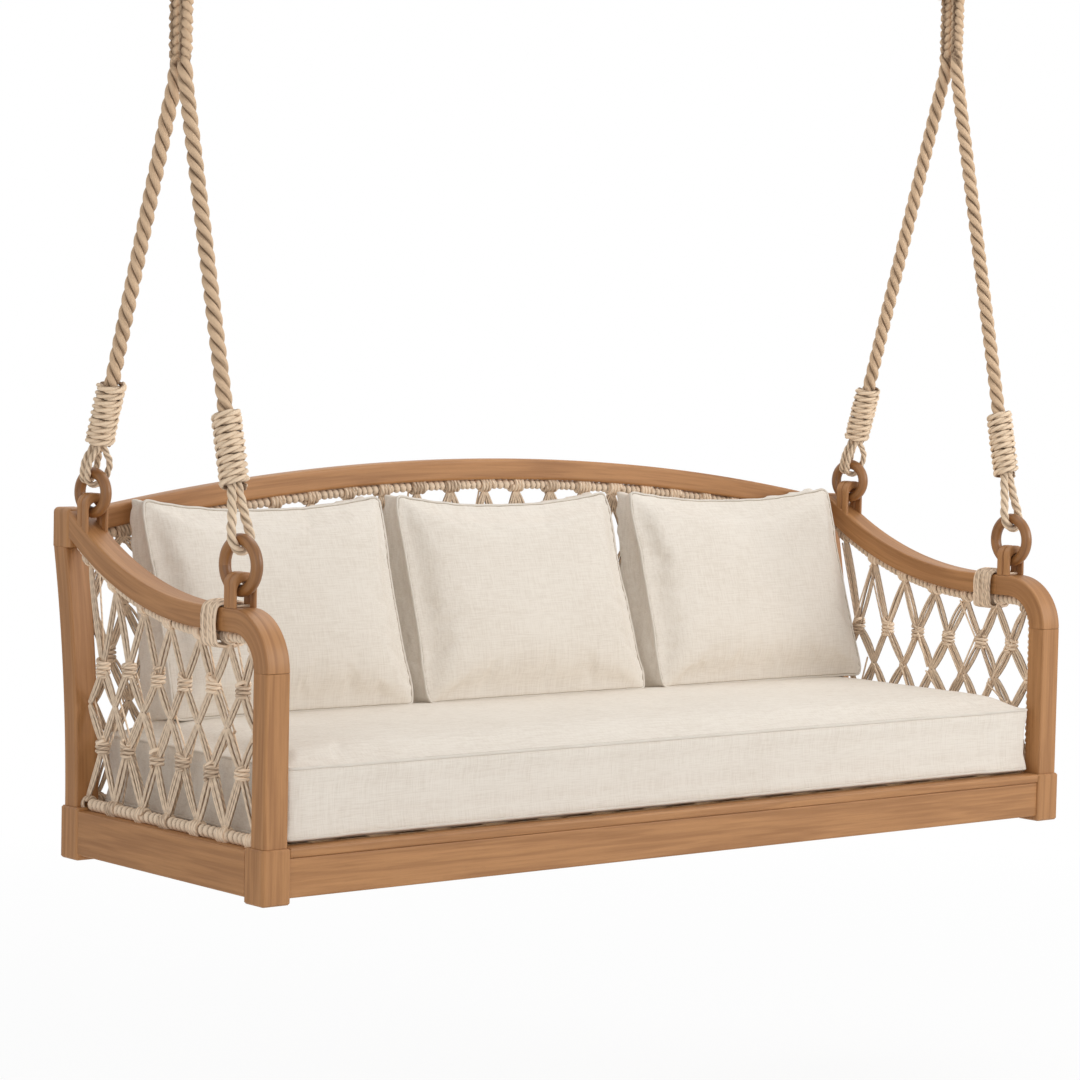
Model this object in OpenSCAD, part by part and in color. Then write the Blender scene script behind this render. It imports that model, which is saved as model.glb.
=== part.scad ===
// Hanging swing bed: timber frame with rope nets, cushions and two rope V hangers.
// Frame of the file: X runs along the bed, the front faces -Y, Z is up, and the origin lies in the
// ceiling plane, midway between the two ceiling brackets.

/* [Seat frame] */
// Length of the bed over its corner blocks
bed_w = 2100; // [1900:10:2300]
// Depth of the bed over its corner blocks
bed_d = 690; // [670:5:740]
// Side of a square corner block
block_w = 62; // [60:1:70]
// Height of a corner block
block_h = 102; // [96:1:120]
// Thickness of the apron boards
apron_t = 38; // [34:1:42]
// Height of the apron's lower edge over the foot of the blocks
apron_lift = 11; // [6:1:16]
// Height of the side and back aprons' top over the foot of the blocks
apron_top = 96; // [92:1:96]
// Height of the lip strip on the front apron
lip_h = 18; // [14:1:20]
// How far the lip stands proud of the front apron
lip_proud = 3; // [1:0.5:4]
// Thickness of a deck slat
slat_t = 18; // [14:1:20]
// Width of a deck slat
slat_w = 75; // [50:1:90]
// Number of deck slats
slat_count = 15; // [9:1:17]

/* [Posts, arms and back] */
// Width of posts and arms along the bed
post_w = 52; // [50:1:54]
// Depth of the posts and thickness of the arms
post_d = 44; // [40:1:46]
// Set-back of the posts behind the block faces
post_inset = 5; // [3:1:6]
// Edge rounding of posts, arms and rails
edge_r = 5; // [3:0.5:8]
// Height of the arm's flat front part over the foot of the blocks
arm_h = 527; // [500:1:560]
// Outer radius of the bent corner piece
bend_r = 110; // [104:1:116]
// Where the arm's sweep starts, from the bed's front
sweep_y = 215; // [212:1:230]
// Radius of the arm's sweep, on its upper face
arm_r = 812; // [800:1:840]
// Radius of the back posts' sweep, on their rear face
back_r = 2380; // [2250:10:2600]
// Height of the joint between back post and cap
cap_z = 602; // [596:1:608]
// Height of a cap block
cap_h = 76; // [74:1:84]
// Depth of a cap block
cap_d = 63; // [60:1:68]
// Height of the crest rail's top at its middle
crest_z = 765; // [755:1:775]
// Radius of the crest rail's arch, on its upper face
crest_r = 5300; // [5200:10:5600]
// Section height of the crest rail
crest_h = 44; // [40:1:48]
// Section thickness of the crest rail
crest_t = 36; // [30:1:40]

/* [Canes and nets] */
// Diameter of the wrapped cane under the arms and the crest
cane_d = 20; // [18:1:22]
// Diameter of the wrapped bars on the aprons
bar_d = 22; // [20:1:24]
// Width of a bundle of net cords
strand_w = 13; // [9:0.5:15]
// Thickness of the nets
net_t = 10; // [8:0.5:12]
// Radius of a net knot
knot_r = 14; // [11:0.5:16]
// Columns of a side net
side_cols = 6; // [5:1:8]
// Columns of the back net
back_cols = 22; // [18:1:26]

/* [Cushions] */
// Height of the seat cushion's boxing
seat_box = 121; // [90:1:130]
// Crown of the seat cushion over its boxing
seat_crown = 28; // [10:1:30]
// Gap between the seat cushion and the posts at each end
seat_gap = 18; // [10:1:30]
// Width of a back cushion, on a bed of the length pillow_bed
pillow_w = 612; // [560:2:612]
// Crown of a back cushion's front
pillow_crown = 36; // [15:1:40]

/* [Rings and eyes] */
// Outer diameter of a front ring
front_ring_d = 116; // [112:1:120]
// Outer diameter of a back ring
back_ring_d = 98; // [96:1:104]
// Thickness of the front rings
front_ring_t = 23; // [21:0.5:24]
// Thickness of the back rings
back_ring_t = 22; // [20:0.5:23]
// Distance of the front eyes from the bed's front
front_eye_y = 130; // [128:1:132]
// Distance of the back eyes from the bed's front, on a bed of the depth eye_bed
back_eye_y = 636; // [632:1:638]
// Height of an eye's opening over the arm
eye_open = 48; // [46:1:50]
// Width of an eye's opening
eye_w = 36; // [34:0.5:38]
// Width of one band of an eye
band_w = 18; // [16:0.5:19]
// Thickness of an eye's band over the ring
crown_t = 17; // [12:0.5:18]

/* [Ropes] */
// Height of the ceiling over the foot of the blocks
hang_h = 2220; // [2120:5:2300]
// Distance of the hanging line from the bed's front
hang_y = 352; // [340:1:364]
// Diameter of the main rope
rope_d = 30; // [28:1:31]
// Diameter of the rope loops through the rings
loop_d = 15; // [13:0.5:15.5]
// Diameter of the cord of whippings and seizings
whip_d = 11.5; // [9:0.5:12]
// Turns of a front whipping
front_whip_turns = 10; // [6:1:12]
// Turns of a back whipping
back_whip_turns = 9; // [6:1:11]
// Turns of the seizing round a pair of ropes
seize_turns = 6; // [3:1:7]
// Turns of the lashing round the arm
lash_turns = 4; // [2:1:4]
// Diameter of the lashing cord
lash_d = 11; // [8:0.5:11.5]

/* [Ceiling hardware] */
// Thickness of the ceiling plates and their ears
plate_t = 8; // [6:0.5:10]
// Width of a ceiling plate
plate_w = 76; // [70:1:90]
// Length of a ceiling plate
plate_l = 136; // [130:1:160]
// Distance between the two screw holes of a ceiling plate
screw_gap = 104; // [100:1:110]
// Radius of the ceiling screw holes
screw_r = 5; // [4:0.25:6]
// Diameter of the swing bolt
bolt_d = 12; // [10:0.5:14]
// Thickness of the link's ring
link_t = 16; // [14:0.5:18]
// Inner radius of the link's ring
link_r = 34; // [32:0.5:38]

/* [Hidden] */
$fn = 48;

// Colours, as the photo shows them
wood = "peru";
ring_wood = "sienna";
cord = "wheat";
cloth = "linen";
steel = "dimgray";

// Clearances and fine facets
fit = 0.2;
touch = 0.3;
arc_fn = 720;

// Places in the frame of the bed: x from its middle, y from its front, z from the blocks' foot
half_w = bed_w / 2;
post_x = half_w - post_inset - post_w / 2;
post_in = post_x - post_w / 2;
front_post_y = post_inset + post_d / 2;
back_post_y = bed_d - post_inset - post_d / 2;
bend_y = post_inset + bend_r;
bend_z = arm_h - bend_r;
lash_pitch = lash_d + 1.6;
lash_y = front_eye_y + band_w + touch + lash_d / 2 + 2;
arm_joint_y = front_eye_y + band_w + 1;
sweep_z = arm_h + arm_r;
cap_y = bed_d - 10;
eye_bed = 690;
rear_eye_y = back_eye_y + bed_d - eye_bed;
apron_in = half_w - block_w;
apron_set = 2;
front_set = 6;
side_in = half_w - apron_set - apron_t;
front_in = front_set + apron_t;
back_in = bed_d - front_set - apron_t;
board_z = block_h - lip_h;
deck_z = block_h - slat_t;
tenon = [22, 12, 56];
bolt_hole = 10.6;
dowel_d = 12;
dowel_l = 56;
dowel_hole = dowel_d + 2 * fit;
foot_z = hang_h;

// Wrapped canes and bars, and the lashing that binds a cane to its arm
cane_drop = post_d + touch + cane_d / 2;
cane_bend = bend_r - cane_drop;
bar_z = apron_top + touch + bar_d / 2;
cane_foot = bar_z + bar_d / 2 + touch;
lash_in = 1.2 + lash_d / 2;
lash_a = post_w / 2 + lash_in;
lash_top = arm_h + lash_in;
lash_low = arm_h - cane_drop - cane_d / 2 - lash_in;
lash_r = edge_r + lash_in;

// Rings hang in the eyes and carry the outer edges of the bands' crowns. They turn a little: yaw of
// the front and back ring, left and, mirrored, right
ring_yaw = [[4, 9], [2, -9]];
function ring_rise(d, t, yaw, clear) =
    sqrt(pow(d / 2 - t, 2) - pow((band_w + fit / 2) / cos(yaw), 2)) - clear;
front_ring_z = arm_h + eye_open + ring_rise(front_ring_d, front_ring_t, 4, 1.1);
back_arm_z = sweep_z - sqrt(pow(arm_r, 2) - pow(rear_eye_y - sweep_y, 2));
back_ring_z = back_arm_z + eye_open + ring_rise(back_ring_d, back_ring_t, 9, 2.4);

// Ropes: each line runs from the middle of the ring's top to the place where the two ropes meet,
// which is lower on the left than on the right
rope_gap = 1.2;
pair_y = rope_d / 2 + rope_gap / 2;
seize_z = hang_h - 420;
meet_z = [seize_z - 310, seize_z - 160];
front_top_z = front_ring_z + front_ring_d / 2 - front_ring_t / 2;
back_top_z = back_ring_z + back_ring_d / 2 - back_ring_t / 2;
whip_pitch = whip_d + 2;
whip_core = max(rope_d / 2, loop_d + 0.4) + 0.4;
front_whip_s = 92;
back_whip_s = 54;
loop_in = 44;
loop_fit = 2;
seize_in = 1.6;

// Thimble, link and swing bolt, from the ceiling down
link_head = 15;
bolt_z = -(plate_t + 32);
link_neck = 26;
link_z = bolt_z - link_neck - link_r - link_t;
bight_r = 60;
thimble_t = 3;
thimble_fit = 0.6;
thimble_out = rope_d / 2 + thimble_fit + thimble_t;
thimble_z = link_z - link_r + touch - (bight_r - thimble_out);
ear_gap = 34;
sleeve_d = bolt_d + 6;

// ---------- helpers ----------

module place() {
    translate([0, -hang_y, -foot_z]) children();
}

// Pieces of a side are drawn for the left, at -X, and mirrored for the right
module side(s) {
    if (s < 0) children();
    else mirror([1, 0, 0]) children();
}

// Section of a rail or post, its edges eased in two flats each
module round_rect(w, h, r) {
    square([w - 2 * r, h], center = true);
    square([w, h - 2 * r], center = true);
    for (x = [-1, 1], y = [-1, 1])
        translate([x * (w / 2 - r), y * (h / 2 - r)]) circle(r, $fn = 8);
}

// A rail section swept round the X axis, in the YZ plane; angle 0 points down, 90 to the back
module arc_yz(radius, from, sweep) {
    rotate([0, 90, 0]) rotate([0, 0, from]) rotate_extrude(angle = sweep, $fn = arc_fn)
        translate([radius, 0]) let ($fn = 48) children();
}

module rail_y(length, w, h, r) {
    rotate([-90, 0, 0]) linear_extrude(length) round_rect(w, h, r);
}

module rail_x(length, w, h, r) {
    translate([-length / 2, 0, 0]) rotate([90, 0, 90]) linear_extrude(length) round_rect(w, h, r);
}

module bore_z(x, y, z0, z1, d) {
    translate([x, y, z0]) cylinder(d = d, h = z1 - z0);
}

module bore_y(x, z, y0, y1, d) {
    translate([x, y0, z]) rotate([-90, 0, 0]) cylinder(d = d, h = y1 - y0);
}

module bore_x(y, z, x0, x1, d) {
    translate([x0, y, z]) rotate([0, 90, 0]) cylinder(d = d, h = x1 - x0);
}

// Tubes: one closed polyhedron swept along a path, with flat ends
function unit(v) = v / norm(v);
function tangent(p, i) = unit(p[min(i + 1, len(p) - 1)] - p[max(i - 1, 0)]);
function across(t) = unit(cross(t, abs(t[0]) < 0.8 ? [1, 0, 0] : [0, 1, 0]));
function carry(n, t) = unit(n - t * (n * t));
function frames(p, i = 0, n = [0, 0, 0]) =
    i >= len(p) ? [] :
    let (t = tangent(p, i), m = i == 0 ? across(t) : carry(n, t))
    concat([[m, cross(t, m)]], frames(p, i + 1, m));

module tube(p, d, sides) {
    f = frames(p);
    last = len(p) - 1;
    points = [for (i = [0 : last], k = [0 : sides - 1])
        p[i] + d / 2 * (cos(360 * k / sides) * f[i][0] + sin(360 * k / sides) * f[i][1])];
    walls = [for (i = [0 : last - 1], k = [0 : sides - 1], h = [0, 1])
        let (a = i * sides + k, b = i * sides + (k + 1) % sides)
        h == 0 ? [a, a + sides, b] : [b, a + sides, b + sides]];
    starts = [for (k = [1 : sides - 2]) [0, k, k + 1]];
    ends = [for (k = [1 : sides - 2]) [last * sides, last * sides + k + 1, last * sides + k]];
    polyhedron(points = points, faces = concat(walls, starts, ends));
}

// Least gap of a winding to itself, over points at least half a turn apart
function self_gap(p, d, skip) =
    min([for (i = [0 : len(p) - 1 - skip], j = [i + skip : len(p) - 1]) norm(p[i] - p[j])]) - d;

// Route of a winding: round points per turn, with straight ends of one cord diameter
function with_ends(p, d) =
    let (n = len(p) - 1)
    concat([p[0] - d * unit(p[1] - p[0])], p, [p[n] + d * unit(p[n] - p[n - 1])]);

// ---------- timber frame ----------

module block(back) {
    y0 = back ? bed_d - block_w : 0;
    tenon_y = back ? back_in + apron_t / 2 : front_set + apron_t / 2;
    post_y = back ? back_post_y : front_post_y;
    side_x = -half_w + apron_set + apron_t / 2;
    side_y = back ? y0 - 1 : block_w - tenon[0] - fit;
    slot_l = tenon[0] + 1 + fit;
    slot_w = tenon[1] + 2 * fit;
    slot_h = tenon[2] + 2 * fit;
    slot_z = (apron_lift + apron_top - slot_h) / 2;
    color(wood) place() difference() {
        translate([-half_w + block_w / 2, y0 + block_w / 2, 0])
            linear_extrude(block_h) round_rect(block_w, block_w, 4);
        translate([-apron_in - tenon[0] - fit, tenon_y - slot_w / 2, slot_z])
            cube([slot_l, slot_w, slot_h]);
        translate([side_x - slot_w / 2, side_y, slot_z]) cube([slot_w, slot_l, slot_h]);
        bore_z(-post_x, post_y, -1, block_h + 1, bolt_hole);
        bore_z(-post_x, post_y, -1, 12, 22);
    }
}

module front_post() {
    color(wood) place() difference() {
        translate([-post_x, front_post_y, block_h])
            linear_extrude(bend_z - block_h) round_rect(post_w, post_d, edge_r);
        bore_z(-post_x, front_post_y, block_h - 1, block_h + 62, bolt_hole);
        bore_z(-post_x, front_post_y, bend_z - dowel_l / 2 - fit, bend_z + 1, dowel_hole);
    }
}

module bend() {
    color(wood) place() difference() {
        union() {
            translate([-post_x, bend_y, bend_z])
                arc_yz(bend_r - post_d / 2, 180, 90) round_rect(post_d, post_w, edge_r);
            translate([-post_x, bend_y, arm_h - post_d / 2])
                rail_y(arm_joint_y - bend_y, post_w, post_d, edge_r);
        }
        bore_z(-post_x, front_post_y, bend_z - 1, bend_z + dowel_l / 2 + fit, dowel_hole);
        bore_y(-post_x, arm_h - post_d / 2, arm_joint_y - dowel_l / 2 - fit, arm_joint_y + 1, dowel_hole);
        eye_holes(front_eye_y, arm_h);
    }
}

module arm() {
    reach = asin((cap_y - sweep_y) / arm_r) + 3;
    color(wood) place() difference() {
        union() {
            translate([-post_x, arm_joint_y, arm_h - post_d / 2])
                rail_y(sweep_y - arm_joint_y, post_w, post_d, edge_r);
            translate([-post_x, sweep_y, sweep_z])
                arc_yz(arm_r + post_d / 2, 0, reach) round_rect(post_d, post_w, edge_r);
        }
        translate([-post_x - post_w, cap_y, arm_h]) cube([2 * post_w, bed_d, arm_r]);
        bore_y(-post_x, arm_h - post_d / 2, arm_joint_y - 1, arm_joint_y + dowel_l / 2 + fit, dowel_hole);
        bore_y(-post_x, arm_dowel_z, cap_y - dowel_l / 2 - fit, cap_y + 1, dowel_hole);
        eye_holes(rear_eye_y, back_arm_z);
    }
}

// Middle of the arm's rear end, where its dowel enters the cap
arm_end_top = sweep_z - sqrt(pow(arm_r, 2) - pow(cap_y - sweep_y, 2));
arm_end_low = sweep_z - sqrt(pow(arm_r + post_d, 2) - pow(cap_y - sweep_y, 2));
arm_dowel_z = (arm_end_top + arm_end_low) / 2 - 2;
back_arc_y = bed_d - post_inset + back_r;
cap_post_y = back_arc_y - sqrt(pow(back_r + post_d / 2, 2) - pow(cap_z - block_h, 2));

module back_post() {
    reach = asin((cap_z - block_h) / back_r) + 1;
    color(wood) place() difference() {
        translate([-post_x, back_arc_y, block_h])
            arc_yz(back_r + post_d / 2, 270 - reach, reach) round_rect(post_d, post_w, edge_r);
        translate([-post_x - post_w, bed_d - 2 * post_d, cap_z]) cube([2 * post_w, 4 * post_d, bed_d]);
        bore_z(-post_x, back_post_y, block_h - 1, block_h + 62, bolt_hole);
        bore_z(-post_x, cap_post_y, cap_z - dowel_l / 2 - fit, cap_z + 1, dowel_hole);
    }
}

module cap() {
    round_top = 11;
    color(wood) place() difference() {
        translate([-post_x - post_w / 2, cap_y, cap_z]) rotate([90, 0, 90]) linear_extrude(post_w) {
            square([cap_d, cap_h - round_top]);
            translate([round_top, 0]) square([cap_d - 2 * round_top, cap_h]);
            for (y = [round_top, cap_d - round_top]) translate([y, cap_h - round_top]) circle(round_top);
        }
        bore_y(-post_x, arm_dowel_z, cap_y - 1, cap_y + dowel_l / 2 + fit, dowel_hole);
        bore_z(-post_x, cap_post_y, cap_z - 1, cap_z + dowel_l / 2 + fit, dowel_hole);
        bore_x(crest_y, crest_dowel_z, -post_in - dowel_l / 2 - fit + 12, -post_in + 1, dowel_hole);
    }
}

// The crest rail and its dowels, in the middle of the caps' depth
crest_y = cap_y + cap_d / 2 + 3;
crest_mid = crest_z - crest_r;
crest_dowel_z = crest_mid + sqrt(pow(crest_r - crest_h / 2, 2) - pow(post_in, 2));

module crest_arc(radius) {
    reach = asin(half_w / crest_r);
    intersection() {
        translate([0, crest_y, crest_mid]) rotate([90, 0, 0]) rotate([0, 0, 90 - reach])
            rotate_extrude(angle = 2 * reach, $fn = arc_fn)
                translate([radius, 0]) let ($fn = 48) children();
        translate([-post_in, crest_y - crest_h, cap_z - cap_h])
            cube([2 * post_in, 2 * crest_h, crest_z]);
    }
}

module crest_rail() {
    color(wood) place() difference() {
        crest_arc(crest_r - crest_h / 2) round_rect(crest_h, crest_t, edge_r);
        for (s = [-1, 1]) side(s)
            bore_x(crest_y, crest_dowel_z, -post_in - 1, -post_in + dowel_l - 16 + fit, dowel_hole);
    }
}

module apron_tenons(length) {
    for (s = [-1, 1]) translate([s * (length / 2 + tenon[0] / 2 - 1), 0, 0])
        cube([tenon[0] + 2, tenon[1], tenon[2]], center = true);
}

// A board along X with a tenon at each end, middle at the origin
module board(length, t, h, r) {
    rail_x(length, t, h, r);
    apron_tenons(length);
}

module front_apron() {
    h = board_z - apron_lift;
    tenon_z = (apron_lift + apron_top) / 2;
    color(wood) place() {
        translate([0, front_set + apron_t / 2, apron_lift + h / 2]) rail_x(2 * apron_in, apron_t, h, 3);
        translate([0, front_set + apron_t / 2, tenon_z]) apron_tenons(2 * apron_in);
    }
}

module front_lip() {
    t = apron_t + lip_proud;
    color(wood) place()
        translate([0, front_set - lip_proud + t / 2, board_z + lip_h / 2]) rail_x(2 * apron_in, t, lip_h, 4);
}

module back_apron() {
    h = apron_top - apron_lift;
    color(wood) place() translate([0, back_in + apron_t / 2, apron_lift + h / 2])
        board(2 * apron_in, apron_t, h, 3);
}

module side_apron() {
    h = apron_top - apron_lift;
    color(wood) place()
        translate([-half_w + apron_set + apron_t / 2, bed_d / 2, apron_lift + h / 2])
            rotate([0, 0, 90]) board(bed_d - 2 * block_w, apron_t, h, 3);
}

cleat_w = 22;
cleat_h = 24;
cleat_l = 2 * (apron_in - 6);
stretcher_w = 40;
stretcher_h = 60;
slat_pitch = (2 * (apron_in - 3) - slat_w) / (slat_count - 1);
slat_screw_y = [front_in + cleat_w / 2, back_in - cleat_w / 2];
screw_d = 4;
screw_head = 8;

function slat_x(i) = (i - (slat_count - 1) / 2) * slat_pitch;

module deck_cleats() {
    color(wood) place() difference() {
        for (y = [front_in, back_in - cleat_w]) translate([-cleat_l / 2, y, deck_z - cleat_h])
            cube([cleat_l, cleat_w, cleat_h]);
        slat_screw_cuts(0.2);
    }
}

module centre_stretcher() {
    color(wood) place() translate([0, bed_d / 2, deck_z - stretcher_h / 2])
        rail_x(2 * side_in, stretcher_w, stretcher_h, 3);
}

module seat_slats() {
    length = back_in - front_in - 2;
    color(wood) place() difference() {
        for (i = [0 : slat_count - 1]) translate([slat_x(i), front_in + 1, deck_z + slat_t / 2])
            rail_y(length, slat_w, slat_t, 3);
        slat_screw_cuts(0.2);
    }
}

// Slat screws, or with a clearance the holes for them
module slat_screw_cuts(c) {
    for (i = [0 : slat_count - 1], y = slat_screw_y) {
        bore_z(slat_x(i), y, deck_z - 18 - c, block_h + c, screw_d + 2 * c);
        bore_z(slat_x(i), y, block_h - 3 - c, block_h + c, screw_head + 2 * c);
    }
}

// Eye screws come up through the arm into the feet of the bands
function eye_feet(y) = [for (x = [-1, 1], b = [-1, 1])
    [-post_x + x * (eye_w / 2 + foot_t / 2), y + b * (band_w / 2 + fit)]];
foot_t = (post_w - eye_w) / 2;
eye_screw_up = 20;

module eye_screw_cuts(y, z, c) {
    for (p = eye_feet(y)) {
        bore_z(p[0], p[1], z - post_d - 30 - c, z + eye_screw_up + c, screw_d + 2 * c);
        bore_z(p[0], p[1], z - post_d - 40, z - post_d + 8 + c, screw_head + 2 * c);
    }
}

module eye_holes(y, z) {
    eye_screw_cuts(y, z, fit);
}

module eye_screw_set(y, z) {
    for (p = eye_feet(y)) {
        bore_z(p[0], p[1], z - post_d + 6, z + eye_screw_up, screw_d);
        bore_z(p[0], p[1], z - post_d + 4, z - post_d + 8, screw_head);
    }
}

module wood_screws() {
    color(steel) place() {
        slat_screw_cuts(0);
        for (s = [-1, 1]) side(s) {
            eye_screw_set(front_eye_y, arm_h);
            eye_screw_set(rear_eye_y, back_arm_z);
        }
    }
}

module post_bolts() {
    color(steel) place() for (s = [-1, 1], y = [front_post_y, back_post_y]) side(s) {
        bore_z(-post_x, y, 4, block_h + 60, 10);
        translate([-post_x, y, 4]) cylinder(d = 18, h = 7.8, $fn = 6);
    }
}

module frame_dowels() {
    color(wood) place() for (s = [-1, 1]) side(s) {
        bore_z(-post_x, front_post_y, bend_z - dowel_l / 2, bend_z + dowel_l / 2, dowel_d);
        bore_y(-post_x, arm_h - post_d / 2, arm_joint_y - dowel_l / 2, arm_joint_y + dowel_l / 2, dowel_d);
        bore_y(-post_x, arm_dowel_z, cap_y - dowel_l / 2, cap_y + dowel_l / 2, dowel_d);
        bore_z(-post_x, cap_post_y, cap_z - dowel_l / 2, cap_z + dowel_l / 2, dowel_d);
        bore_x(crest_y, crest_dowel_z, -post_in - dowel_l / 2 + 12, -post_in + dowel_l - 16, dowel_d);
    }
}

// ---------- eyes, rings and canes ----------

// Outline of a band: an arch with straight legs that reach down by drop
module arch(drop) {
    top_r = 22;
    h = eye_open + crown_t;
    difference() {
        union() {
            translate([-post_w / 2, -drop]) square([post_w, h + drop - top_r]);
            translate([top_r - post_w / 2, -drop]) square([post_w - 2 * top_r, h + drop]);
            for (x = [-1, 1]) translate([x * (post_w / 2 - top_r), h - top_r]) circle(top_r);
        }
        translate([-eye_w / 2, -drop - 1]) square([eye_w, eye_open + drop + 1 - eye_w / 2]);
        translate([0, eye_open - eye_w / 2]) circle(d = eye_w);
    }
}

module bands(y, z, drop) {
    for (b = [-1, 1]) translate([-post_x, y + b * (band_w / 2 + fit / 2) + band_w / 2, z])
        rotate([90, 0, 0]) linear_extrude(band_w) arch(drop);
}

module eye_front() {
    color(wood) place() difference() {
        bands(front_eye_y, arm_h, 0);
        eye_holes(front_eye_y, arm_h);
    }
}

// The back eyes stand on the sweep, so their feet are cut to it
module eye_back() {
    color(wood) place() difference() {
        intersection() {
            bands(rear_eye_y, back_arm_z, 40);
            translate([-post_x - post_w, sweep_y, sweep_z]) rotate([0, 90, 0])
                cylinder(r = arm_r - fit, h = 2 * post_w, $fn = arc_fn);
        }
        eye_holes(rear_eye_y, back_arm_z);
    }
}

module ring(y, z, d, t, yaw) {
    translate([-post_x, y, z]) rotate([0, 0, yaw]) rotate([0, 90, 0])
        rotate_extrude($fn = 96) translate([(d - t) / 2, 0]) circle(d = t);
}

module rings(s) {
    color(ring_wood) place() side(s) {
        ring(front_eye_y, front_ring_z, front_ring_d, front_ring_t, ring_yaw[(s + 1) / 2][0]);
        ring(rear_eye_y, back_ring_z, back_ring_d, back_ring_t, ring_yaw[(s + 1) / 2][1]);
    }
}

// The wrapped cane lies under the arm, turns down in the bent corner and ends on the side bar

module arm_cane() {
    reach = asin((cap_y - sweep_y) / (arm_r + cane_drop));
    color(cord) place() difference() {
        union() {
            translate([-post_x, sweep_y, sweep_z])
                arc_yz(arm_r + cane_drop, 0, reach + 2) circle(d = cane_d);
            bore_y(-post_x, arm_h - cane_drop, bend_y, sweep_y, cane_d);
            translate([-post_x, bend_y, bend_z]) arc_yz(cane_bend, 180, 90) circle(d = cane_d);
            bore_z(-post_x, bend_y - cane_bend, cane_foot, bend_z, cane_d);
        }
        translate([-post_x - post_w, cap_y - touch, arm_h - post_w]) cube([2 * post_w, bed_d, arm_r]);
    }
}

module crest_cane() {
    color(cord) place() crest_arc(crest_r - crest_h - touch - cane_d / 2) circle(d = cane_d);
}

back_bar_y = back_in + apron_t / 2 + 3;

module base_bars() {
    color(cord) place() {
        for (s = [-1, 1]) side(s)
            bore_y(-post_x, bar_z, block_w + touch, bed_d - block_w - touch, bar_d);
        bore_x(back_bar_y, bar_z, touch - apron_in, apron_in - touch, bar_d);
    }
}

// ---------- nets ----------

// A net runs in diamonds between levels; the knots sit on the odd levels, half a column over.
// Inset of a convex outline, for the gap that the bundles of cord leave open
function turn90(v) = [-v[1], v[0]];
function inset(q, d) = [for (i = [0 : len(q) - 1])
    let (a = turn90(unit(q[i] - q[(i + len(q) - 1) % len(q)])),
        b = turn90(unit(q[(i + 1) % len(q)] - q[i])))
    q[i] + d * (a + b) / (1 + a * b)];

module net_gaps(cols, levels, at) {
    n = levels - 1;
    for (i = [1 : n - 1], c = [i % 2 == 0 ? 0.5 : 0 : 1 : cols])
        polygon(inset([at(c, i - 1), at(c + 0.5, i), at(c, i + 1), at(c - 0.5, i)], strand_w / 2));
    for (c = [0.5 : 1 : cols]) {
        polygon(inset([at(c - 0.5, 0), at(c + 0.5, 0), at(c, 1)], strand_w / 2));
        polygon(inset([at(c, n - 1), at(c + 0.5, n), at(c - 0.5, n)], strand_w / 2));
    }
}

module net_knots(cols, levels, at) {
    for (i = [1 : 2 : levels - 2], c = [0.5 : 1 : cols])
        translate(at(c, i)) circle(knot_r, $fn = 16);
}

// Side net, in the plane of Y and Z
net_y0 = post_inset + post_d + cane_d + 2 * touch;
net_z0 = cane_foot;
net_drop = post_d + cane_d + 2 * touch;
net_y1 = back_post_y - post_d / 2 - 2;
net_levels = 5;
side_rise = [0, 104, 182, 258];

function net_top(y) = y < sweep_y ? arm_h - net_drop
    : sweep_z - sqrt(pow(arm_r + net_drop, 2) - pow(y - sweep_y, 2));
function side_at(c, i) =
    let (y = net_y0 + (net_y1 - net_y0) * c / side_cols)
    [y, i == net_levels - 1 ? net_top(y) : net_z0 + side_rise[i]];

module side_outline() {
    difference() {
        translate([net_y0, net_z0]) square([cap_y - 2 - net_y0, cap_z - net_z0 - 2]);
        translate([sweep_y, sweep_z]) circle(arm_r + net_drop, $fn = arc_fn);
        translate([0, arm_h - net_drop]) square([sweep_y, bed_d]);
        difference() {
            translate([0, bend_z]) square([bend_y, bend_r]);
            translate([bend_y, bend_z]) circle(bend_r - net_drop);
        }
        translate([back_arc_y, block_h]) circle(back_r + post_d + touch, $fn = arc_fn);
        translate([lash_y - lash_d, lash_low - lash_d / 2 - touch])
            square([lash_turns * lash_pitch + 2 * lash_d, post_d]);
    }
}

module side_net() {
    color(cord) place() translate([-post_x - net_t / 2, 0, 0]) rotate([90, 0, 90])
        linear_extrude(net_t) {
            difference() {
                side_outline();
                net_gaps(side_cols, net_levels, function (c, i) side_at(c, i));
            }
            net_knots(side_cols, net_levels, function (c, i) side_at(c, i));
        }
}

// Back net, in a plane that leans from the back bar to the crest cane
back_levels = 7;
crest_net_r = crest_r - crest_h - cane_d - 3 * touch;
back_net_h = crest_mid + crest_net_r - net_z0;
back_lean = atan2(crest_y - back_bar_y, back_net_h);
back_net_w = post_in - touch;
back_row = 92;

function back_top(x) = (crest_mid + sqrt(pow(crest_net_r, 2) - pow(x, 2)) - net_z0) / cos(back_lean) - 1;
function back_at(c, i) =
    let (x = back_net_w * (2 * c / back_cols - 1))
    [x, i == back_levels - 1 ? back_top(x) : i * back_row];

module back_net() {
    color(cord) place() translate([0, back_bar_y, net_z0]) rotate([-back_lean, 0, 0])
        translate([0, net_t / 2, 0]) rotate([90, 0, 0]) linear_extrude(net_t) {
            difference() {
                intersection() {
                    translate([-back_net_w, 0]) square([2 * back_net_w, crest_z]);
                    translate([0, back_top(0) - crest_net_r]) circle(crest_net_r, $fn = 4 * arc_fn);
                }
                net_gaps(back_cols, back_levels, function (c, i) back_at(c, i));
            }
            net_knots(back_cols, back_levels, function (c, i) back_at(c, i));
        }
}

// ---------- cushions ----------

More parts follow.
